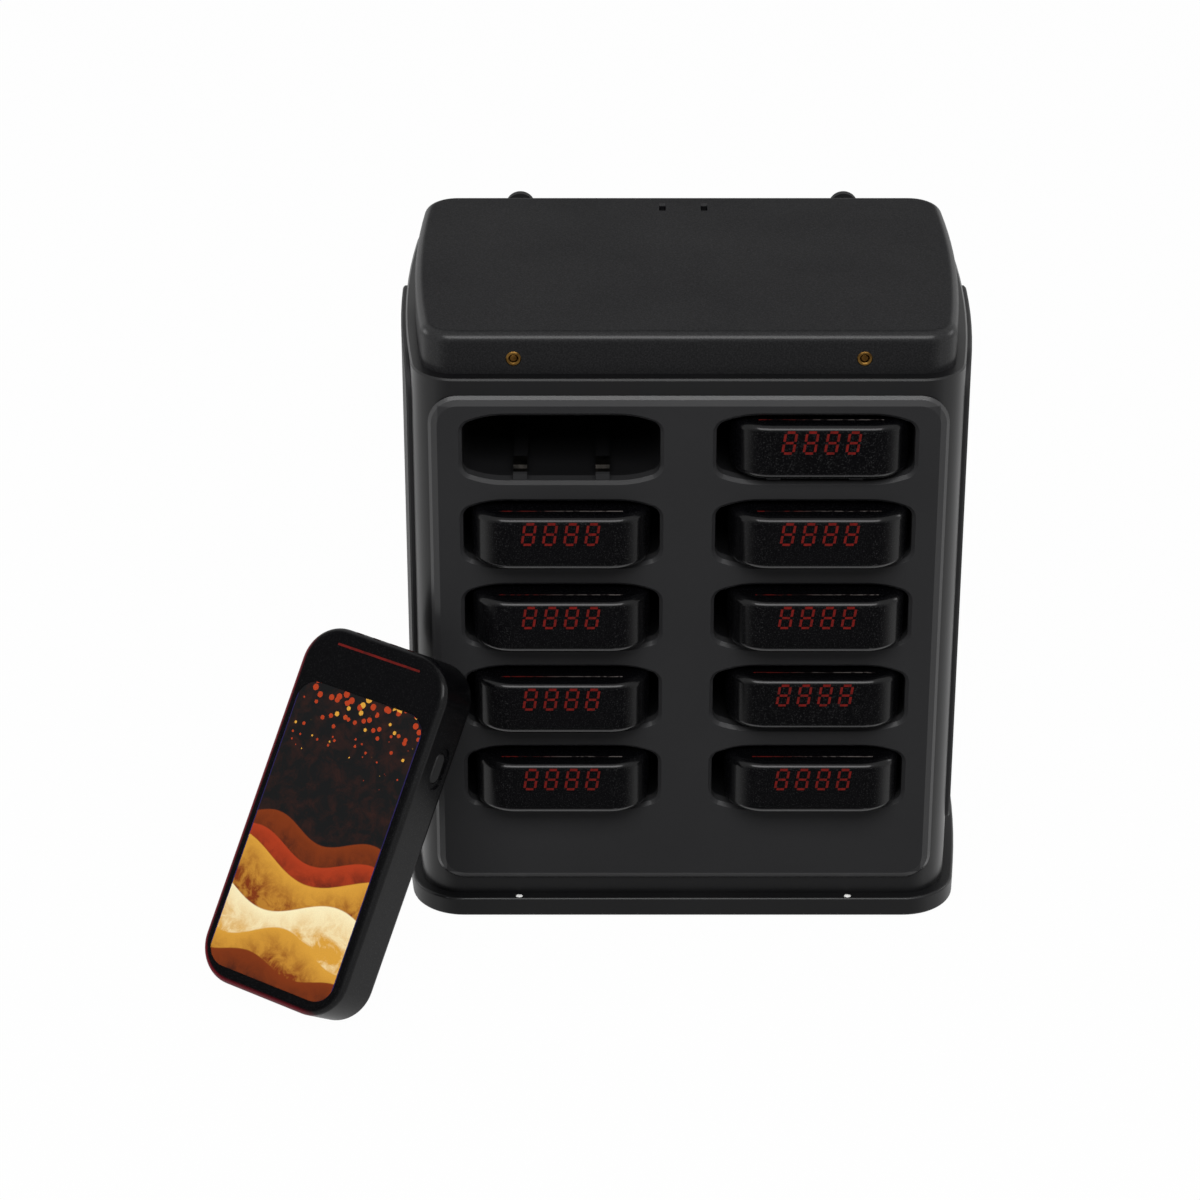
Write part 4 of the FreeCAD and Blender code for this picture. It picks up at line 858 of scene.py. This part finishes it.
@dataclass
class ChargingBays:
    """Pockets, contacts and the board behind them."""

    frame: dict[str, Any]
    pocket: Finish = MouldedPlastic("abs_pocket_matt", "#0c0c0d", "#101011", 0.6, 0.1, Grain.SATIN, 0.6, 0.03)
    # The contacts' nickel is darkened to near black.
    contact: Finish = TurnedMetal("darkened_nickel_contact", "#211f1d", "#0d0d0c", 0.5)
    board: Finish = SolderMask("solder_mask_board")

    def build(self) -> None:
        """Dress the solids."""
        pocket, contact = self.pocket.make(), self.contact.make()
        dress(self.frame, {
            "bay_stack_left": pocket, "bay_stack_right": pocket, "bay_contacts": contact,
            "free_contacts": contact, "main_board": self.board.make()})


@dataclass
class Fittings:
    """Rings, bumpers, feet, screws, latches and the power inlet."""

    frame: dict[str, Any]
    ring: Finish = TurnedMetal("turned_brass", "#6e5228", "#3c2a12", 0.34)
    pin: Finish = TurnedMetal("aged_brass_pin", "#5f4420", "#3a2810", 0.4)
    screw: Finish = TurnedMetal("blackened_steel", "#4a4a4c", "#2b2b2d", 0.4)
    rubber: Finish = Elastomer("nitrile_rubber", "#0d0d0e", "#161617")
    inlet: Finish = MouldedPlastic("pbt_inlet", "#0b0b0c", "#131314", 0.4, 0.4, Grain.SATIN, 0.5, 0.01)
    # This finish serves both the black latches and the painted shade of the screws' cross recesses.
    latch_and_shade: Finish = Elastomer("pom_latch_and_painted_shade", "#020203", "#050506", 0.7, 0.02)
    pin_radius: float = 1.2 * MM
    pin_back: float = 0.5 * MM
    pin_long: float = 2.0 * MM
    head_radius: float = 2.8 * MM
    recess_long: float = 3.4 * MM
    recess_wide: float = 0.75 * MM
    recess_proud: float = 0.02 * MM
    latch_wide: float = 1.8 * MM
    latch_long: float = 4.9 * MM
    latch_tall: float = 2.4 * MM
    latch_edge: float = 0.25 * MM
    latch_apart: float = 12.7 * MM
    latch_back: float = 9.9 * MM
    well_deep: float = 3.2 * MM

    def build(self) -> None:
        """Dress the solids, and add the rings' pins, painted shade for the screws' recesses and the two
        latches.
        """
        rubber = self.rubber.make()
        dress(self.frame, {
            "cap_contact_rings": self.ring.make(), "rear_bumpers": rubber, "base_feet": rubber,
            "case_screws": self.screw.make(), "dc_inlet": self.inlet.make()})
        self._ring_pins()
        self._recesses()
        self._latches()

    def _ring_pins(self) -> None:
        """Set a domed pin a little way inside each brass ring."""
        low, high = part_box("cap_contact_rings")
        level, half = (low.z + high.z) / 2, (high.z - low.z) / 2
        material = self.pin.make()
        for name, middle in (("ring_pin_left", low.x + half), ("ring_pin_right", high.x - half)):
            mesh = bmesh.new()
            bmesh.ops.create_cone(mesh, cap_ends=True, segments=24, radius1=self.pin_radius,
                                  radius2=self.pin_radius, depth=self.pin_long)
            rim = [edge for edge in mesh.edges
                   if all(vert.co.z > 0 for vert in edge.verts) and len(edge.link_faces) == 2]
            soften(mesh, rim, self.pin_radius / 3, 3, "EDGES")
            spot = Vector((middle, low.y + self.pin_back + self.pin_long / 2, level))
            bmesh.ops.transform(mesh, matrix=Matrix.Translation(spot) @ quarter_turn("X"), verts=mesh.verts)
            fix_on_base(name, mesh, material, smooth=True)

    def _recesses(self) -> None:
        """Lay a flat dark cross over the middle of each screw's head: painted shade standing in for the
        hollow cross recess.
        """
        low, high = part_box("case_screws")
        mesh = bmesh.new()
        for x in (low.x + self.head_radius, high.x - self.head_radius):
            for z in (low.z + self.head_radius, high.z - self.head_radius):
                spot = Matrix.Translation((x, high.y + self.recess_proud, z))
                for turns in (0, 1):
                    bar = flat_rectangle(mesh, self.recess_long, self.recess_wide)
                    bmesh.ops.transform(mesh, verts=bar,
                                        matrix=spot @ quarter_turn("Y", turns) @ quarter_turn("X", -1))
        fix_on_base("screw_recess_painted_shade", mesh, self.latch_and_shade.make())

    def _latches(self) -> None:
        """Stand a black latch with soft edges in each well of the cap."""
        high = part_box("top_cap")[1]
        material = self.latch_and_shade.make()
        for name, side in (("latch_left", -1), ("latch_right", 1)):
            mesh = bmesh.new()
            bmesh.ops.create_cube(mesh, size=1.0)
            bmesh.ops.scale(mesh, vec=(self.latch_wide, self.latch_long, self.latch_tall), verts=mesh.verts)
            soften(mesh, list(mesh.edges), self.latch_edge, 2, "EDGES")
            spot = (side * self.latch_apart / 2, high.y - self.latch_back,
                    high.z - self.well_deep + self.latch_tall / 2)
            bmesh.ops.translate(mesh, vec=spot, verts=mesh.verts)
            fix_on_base(name, mesh, material)


def pager_matrix(frame: dict[str, Any], nodes: tuple[str, ...], across: Vector, along: Vector,
                 up: Vector) -> Matrix:
    """Find where a pager is, from the solids of its casing.

    Args:
        nodes: The casing's solids.
        across: The pager's own X in the frame.
        along: Its own Y, from its exposed end inwards.
        up: Its own Z, from its back to its face.

    Returns:
        The matrix from the pager's own frame, whose origin is in the middle of the lower edge of the
        exposed end, to the object's frame.
    """
    points = [vertex.co for node in nodes for vertex in frame["nodes"][node].data.vertices]
    sides = [point.dot(across) for point in points]
    start = min(point.dot(along) for point in points)
    back = min(point.dot(up) for point in points)
    origin = (min(sides) + max(sides)) / 2 * across + start * along + back * up
    return Matrix.Translation(origin) @ Matrix((across, along, up)).transposed().to_4x4()


@dataclass
class Pager:
    """One pager: its solids' finishes, figures, line of light, printed card and charging plates."""

    frame: dict[str, Any]
    name: str
    body: str
    matrix: Matrix
    nodes: dict[str, str]
    finishes: dict[str, bpy.types.Material]
    thick: float = 17.0 * MM
    figures: int = 4
    figure_tall: float = 7.3 * MM
    figure_wide: float = 3.85 * MM
    figure_pitch: float = 6.1 * MM
    figure_rise: float = 12.1 * MM
    stroke: float = 0.72 * MM
    segment_gap: float = 0.1 * MM
    slant_deg: float = 8.0
    proud: float = 0.03 * MM
    sunk: float = 0.3 * MM
    card_wide: float = 45.4 * MM
    card_long: float = 88.0 * MM
    card_start: float = 17.5 * MM
    card_corner: float = 6.5 * MM
    line_wide: float = 36.0 * MM
    line_thick: float = 0.45 * MM
    line_start: float = 5.2 * MM
    line_corner: float = 0.45
    plate_apart: float = 23.8 * MM
    plate_wide: float = 7.0 * MM
    plate_long: float = 12.0 * MM
    plate_start: float = 8.0 * MM
    plate_corner: float = 0.6 * MM

    def build(self) -> None:
        """Dress the solids and add the figures, the line of light, the print and the plates' skin."""
        dress(self.frame, {node: self.finishes[part] for part, node in self.nodes.items()})
        self._figures()
        self._line()
        self._card()
        self._plates()
        LOG.info("built pager %s", self.name)

    def _keep(self, name: str, mesh: bmesh.types.BMesh, shift: Matrix, finish: str) -> None:
        """Bring a piece from the pager's own frame to its place and let it ride on the pager.

        Args:
            name: What the piece is.
            mesh: Its bmesh.
            shift: Its place in the pager's own frame.
            finish: Name of its finish.
        """
        bmesh.ops.transform(mesh, matrix=self.matrix @ shift, verts=mesh.verts)
        piece = finish_mesh(f"{name}_{self.name}", mesh, self.finishes[finish])
        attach(piece, self.body)

    def _figures(self) -> None:
        """Raise slanted seven-segment eights just in front of the exposed end."""
        mesh = bmesh.new()
        half, wing = self.figure_tall / 2 - self.stroke / 2, self.figure_wide / 2 - self.stroke / 2
        for index in range(self.figures):
            middle = (index - (self.figures - 1) / 2) * self.figure_pitch
            for level in (-1, 0, 1):
                self._segment(mesh, (middle, level * half), wing - self.segment_gap, 0)
            for side in (-1, 1):
                for level in (-1, 1):
                    self._segment(mesh, (middle + side * wing, level * half / 2),
                                  half / 2 - self.segment_gap, 1)
        shear = Matrix.Identity(4)
        shear[0][2] = math.tan(math.radians(self.slant_deg))
        self._keep("figures", mesh, Matrix.Translation((0, 0, self.figure_rise)) @ shear, "figures")

    def _segment(self, mesh: bmesh.types.BMesh, middle: tuple[float, float], reach: float,
                 turns: int) -> None:
        """Add one bar with pointed ends, standing in front of the end face.

        Args:
            mesh: The bmesh to add to.
            middle: Bar's middle across the pager and up the figure.
            reach: Half the bar's length.
            turns: 1 for a bar that stands up, 0 for one that lies across.
        """
        own = bmesh.new()
        bmesh.ops.create_circle(own, cap_ends=True, segments=6, radius=1.0)
        half, on_axis = self.stroke / 2, 0.1
        for vert in own.verts:
            tip = abs(vert.co.y) < on_axis
            vert.co.x = math.copysign(reach if tip else reach - half, vert.co.x)
            vert.co.y = 0.0 if tip else math.copysign(half, vert.co.y)
        raise_faces(own, self.proud + self.sunk)
        bmesh.ops.translate(own, vec=(0, 0, -self.sunk), verts=own.verts)
        spot = Matrix.Translation((middle[0], 0, middle[1]))
        bmesh.ops.transform(own, matrix=spot @ quarter_turn("X") @ quarter_turn("Z", turns), verts=own.verts)
        held = bpy.data.meshes.new("segment")
        own.to_mesh(held)
        own.free()
        mesh.from_mesh(held)
        bpy.data.meshes.remove(held)

    def _sheet(self, name: str, size: tuple[float, float, float], spot: tuple[float, float, float],
               sense: int, finish: str) -> None:
        """Lay a thin sheet with round corners and its own UV map on the pager.

        Args:
            name: What the piece is.
            size: Its width, length and corner radius in metres.
            spot: Its middle in the pager's own frame.
            sense: Whether its map runs along its axes, 1, or against them, -1.
            finish: Name of its finish.
        """
        mesh = bmesh.new()
        wide, long, corner = size
        soften(mesh, flat_rectangle(mesh, wide, long), corner, 8, "VERTICES")
        raise_faces(mesh, self.proud)
        unwrap(mesh, wide, long, sense)
        self._keep(name, mesh, Matrix.Translation(spot), finish)

    def _line(self) -> None:
        """Lay the display's line of light across the face, near the exposed end."""
        size = (self.line_wide, self.line_thick, self.line_thick * self.line_corner)
        self._sheet("light_line", size, (0, self.line_start, self.thick), 1, "line")

    def _card(self) -> None:
        """Lay the print over the card."""
        size = (self.card_wide, self.card_long, self.card_corner)
        spot = (0, self.card_start + self.card_long / 2, self.thick)
        self._sheet("label_print", size, spot, -1, "print")

    def _plates(self) -> None:
        """Skin the two charging plates in the back with nickel."""
        mesh = bmesh.new()
        for side in (-1, 1):
            plate = flat_rectangle(mesh, self.plate_wide, self.plate_long)
            middle = Vector((side * self.plate_apart / 2, self.plate_start + self.plate_long / 2, 0))
            bmesh.ops.translate(mesh, vec=middle, verts=plate)
        soften(mesh, list(mesh.verts), self.plate_corner, 4, "VERTICES")
        raise_faces(mesh, self.proud)
        self._keep("charge_plates", mesh, Matrix.Translation((0, 0, -self.proud)), "nickel")


@dataclass
class PagerSet:
    """All the pagers, docked and loose, with the finishes that they share."""

    frame: dict[str, Any]

    def build(self) -> None:
        """Find every pager in the frame and build it."""
        shared = {
            "inside": MouldedPlastic("display_and_cell_block", "#0f1511", "#1d2a21", 0.5, 0.3,
                                     Grain.SATIN, 1.2, 0.02),
            "button": Elastomer("silicone_button", "#0c0c0d", "#141415", 0.5),
            "print": PrintedCard("printed_label_card"),
            "board": SolderMask("pager_board"),
            "nickel": TurnedMetal("nickel_charging_plate", "#8f8a80", "#5d594f", 0.38),
            "battery": TurnedMetal("cell_foil", "#8b8f94", "#6d7176", 0.35),
            "motor": TurnedMetal("motor_can", "#9a9a9c", "#6e6e70", 0.3),
            "display": MouldedPlastic("display_resin", "#120706", "#1c0a09", 0.3, 0.4, Grain.SATIN,
                                      0.8, 0.01),
        }
        docked = {
            "cover": SmokedAcrylic("smoked_acrylic_docked"),
            "shell": SmokedAcrylic("polished_pager_shell_docked", low_polish=1.0),
            "figures": LitFigures("red_led_segments"),
            "line": LitFigures("led_line_dotted", "#5a5553", "#0a0606", 0.1, 1.3, broken=True),
        }
        made = {part: finish.make() for part, finish in shared.items()}
        docked_made = {part: finish.make() for part, finish in docked.items()}
        for body in sorted(self.frame["bodies"]):
            if body.startswith("pager_"):
                self._docked(body, {**made, **docked_made})
        self._loose(made)

    def _docked(self, body: str, finishes: dict[str, bpy.types.Material]) -> None:
        """Build one docked pager.

        Args:
            body: Name of its body, such as pager_r1.
            finishes: Finishes by part.
        """
        nodes = {"cover": f"{body}_cover", "shell": f"{body}_shell", "inside": f"{body}_core",
                 "button": f"{body}_button"}
        axes = Vector((1, 0, 0)), Vector((0, 1, 0)), Vector((0, 0, 1))
        matrix = pager_matrix(self.frame, (nodes["shell"], nodes["cover"]), *axes)
        Pager(self.frame, body, body, matrix, nodes, finishes).build()

    def _loose(self, made: dict[str, bpy.types.Material]) -> None:
        """Build the loose pager, whose axes are those of its joints and whose figures are off.

        Args:
            made: Finishes by part, of the parts that are as in a docked pager.
        """
        axes = {joint["name"]: Vector(joint["axis"]).normalized() for joint in self.frame["joints"]}
        across, up = axes["loose_button_press"], axes["loose_pager_lift"]
        along = up.cross(across)
        matrix = pager_matrix(self.frame, ("loose_shell", "loose_cover"), across, along, up)
        # The loose cover's side towards this direction gets a painted red glow.
        toward = (across + along * 0.7).normalized()
        own = {
            "cover": SmokedAcrylic("smoked_acrylic_loose", fleck="#1a1a1b", rim_flecks=0.9,
                                   window_toward=tuple(up), polish=0.3, painted_glow_toward=tuple(toward),
                                   painted_glow_share=0.9),
            "shell": SmokedAcrylic("polished_pager_shell_loose", rim_flecks=0.7,
                                   window_toward=tuple(-along), polish=0.3),
            "figures": LitFigures("led_segments_off", "#240908", "#1a0706", 0.0),
            "line": LitFigures("red_led_line", "#5a100c", "#340a08", 0.22, 2.4),
        }
        nodes = {"cover": "loose_cover", "shell": "loose_shell", "button": "loose_button",
                 "board": "loose_board", "battery": "loose_battery", "motor": "loose_motor",
                 "display": "loose_display", "print": "loose_label_card"}
        finishes = {**made, **{part: finish.make() for part, finish in own.items()}}
        Pager(self.frame, "loose", "loose_pager", matrix, nodes, finishes, line_wide=30.0 * MM,
              line_thick=0.7 * MM, line_start=5.0 * MM).build()


def main() -> None:
    """Load the frame, build every sub-assembly and log each one as it is built."""
    logging.basicConfig(level=logging.INFO, format="%(message)s")
    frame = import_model()
    bpy.context.scene.view_settings.view_transform = "Standard"
    for part in (Studio(), Housing(frame), ChargingBays(frame), Fittings(frame), PagerSet(frame)):
        part.build()
        LOG.info("built %s", type(part).__name__)


if __name__ == "__main__":
    main()
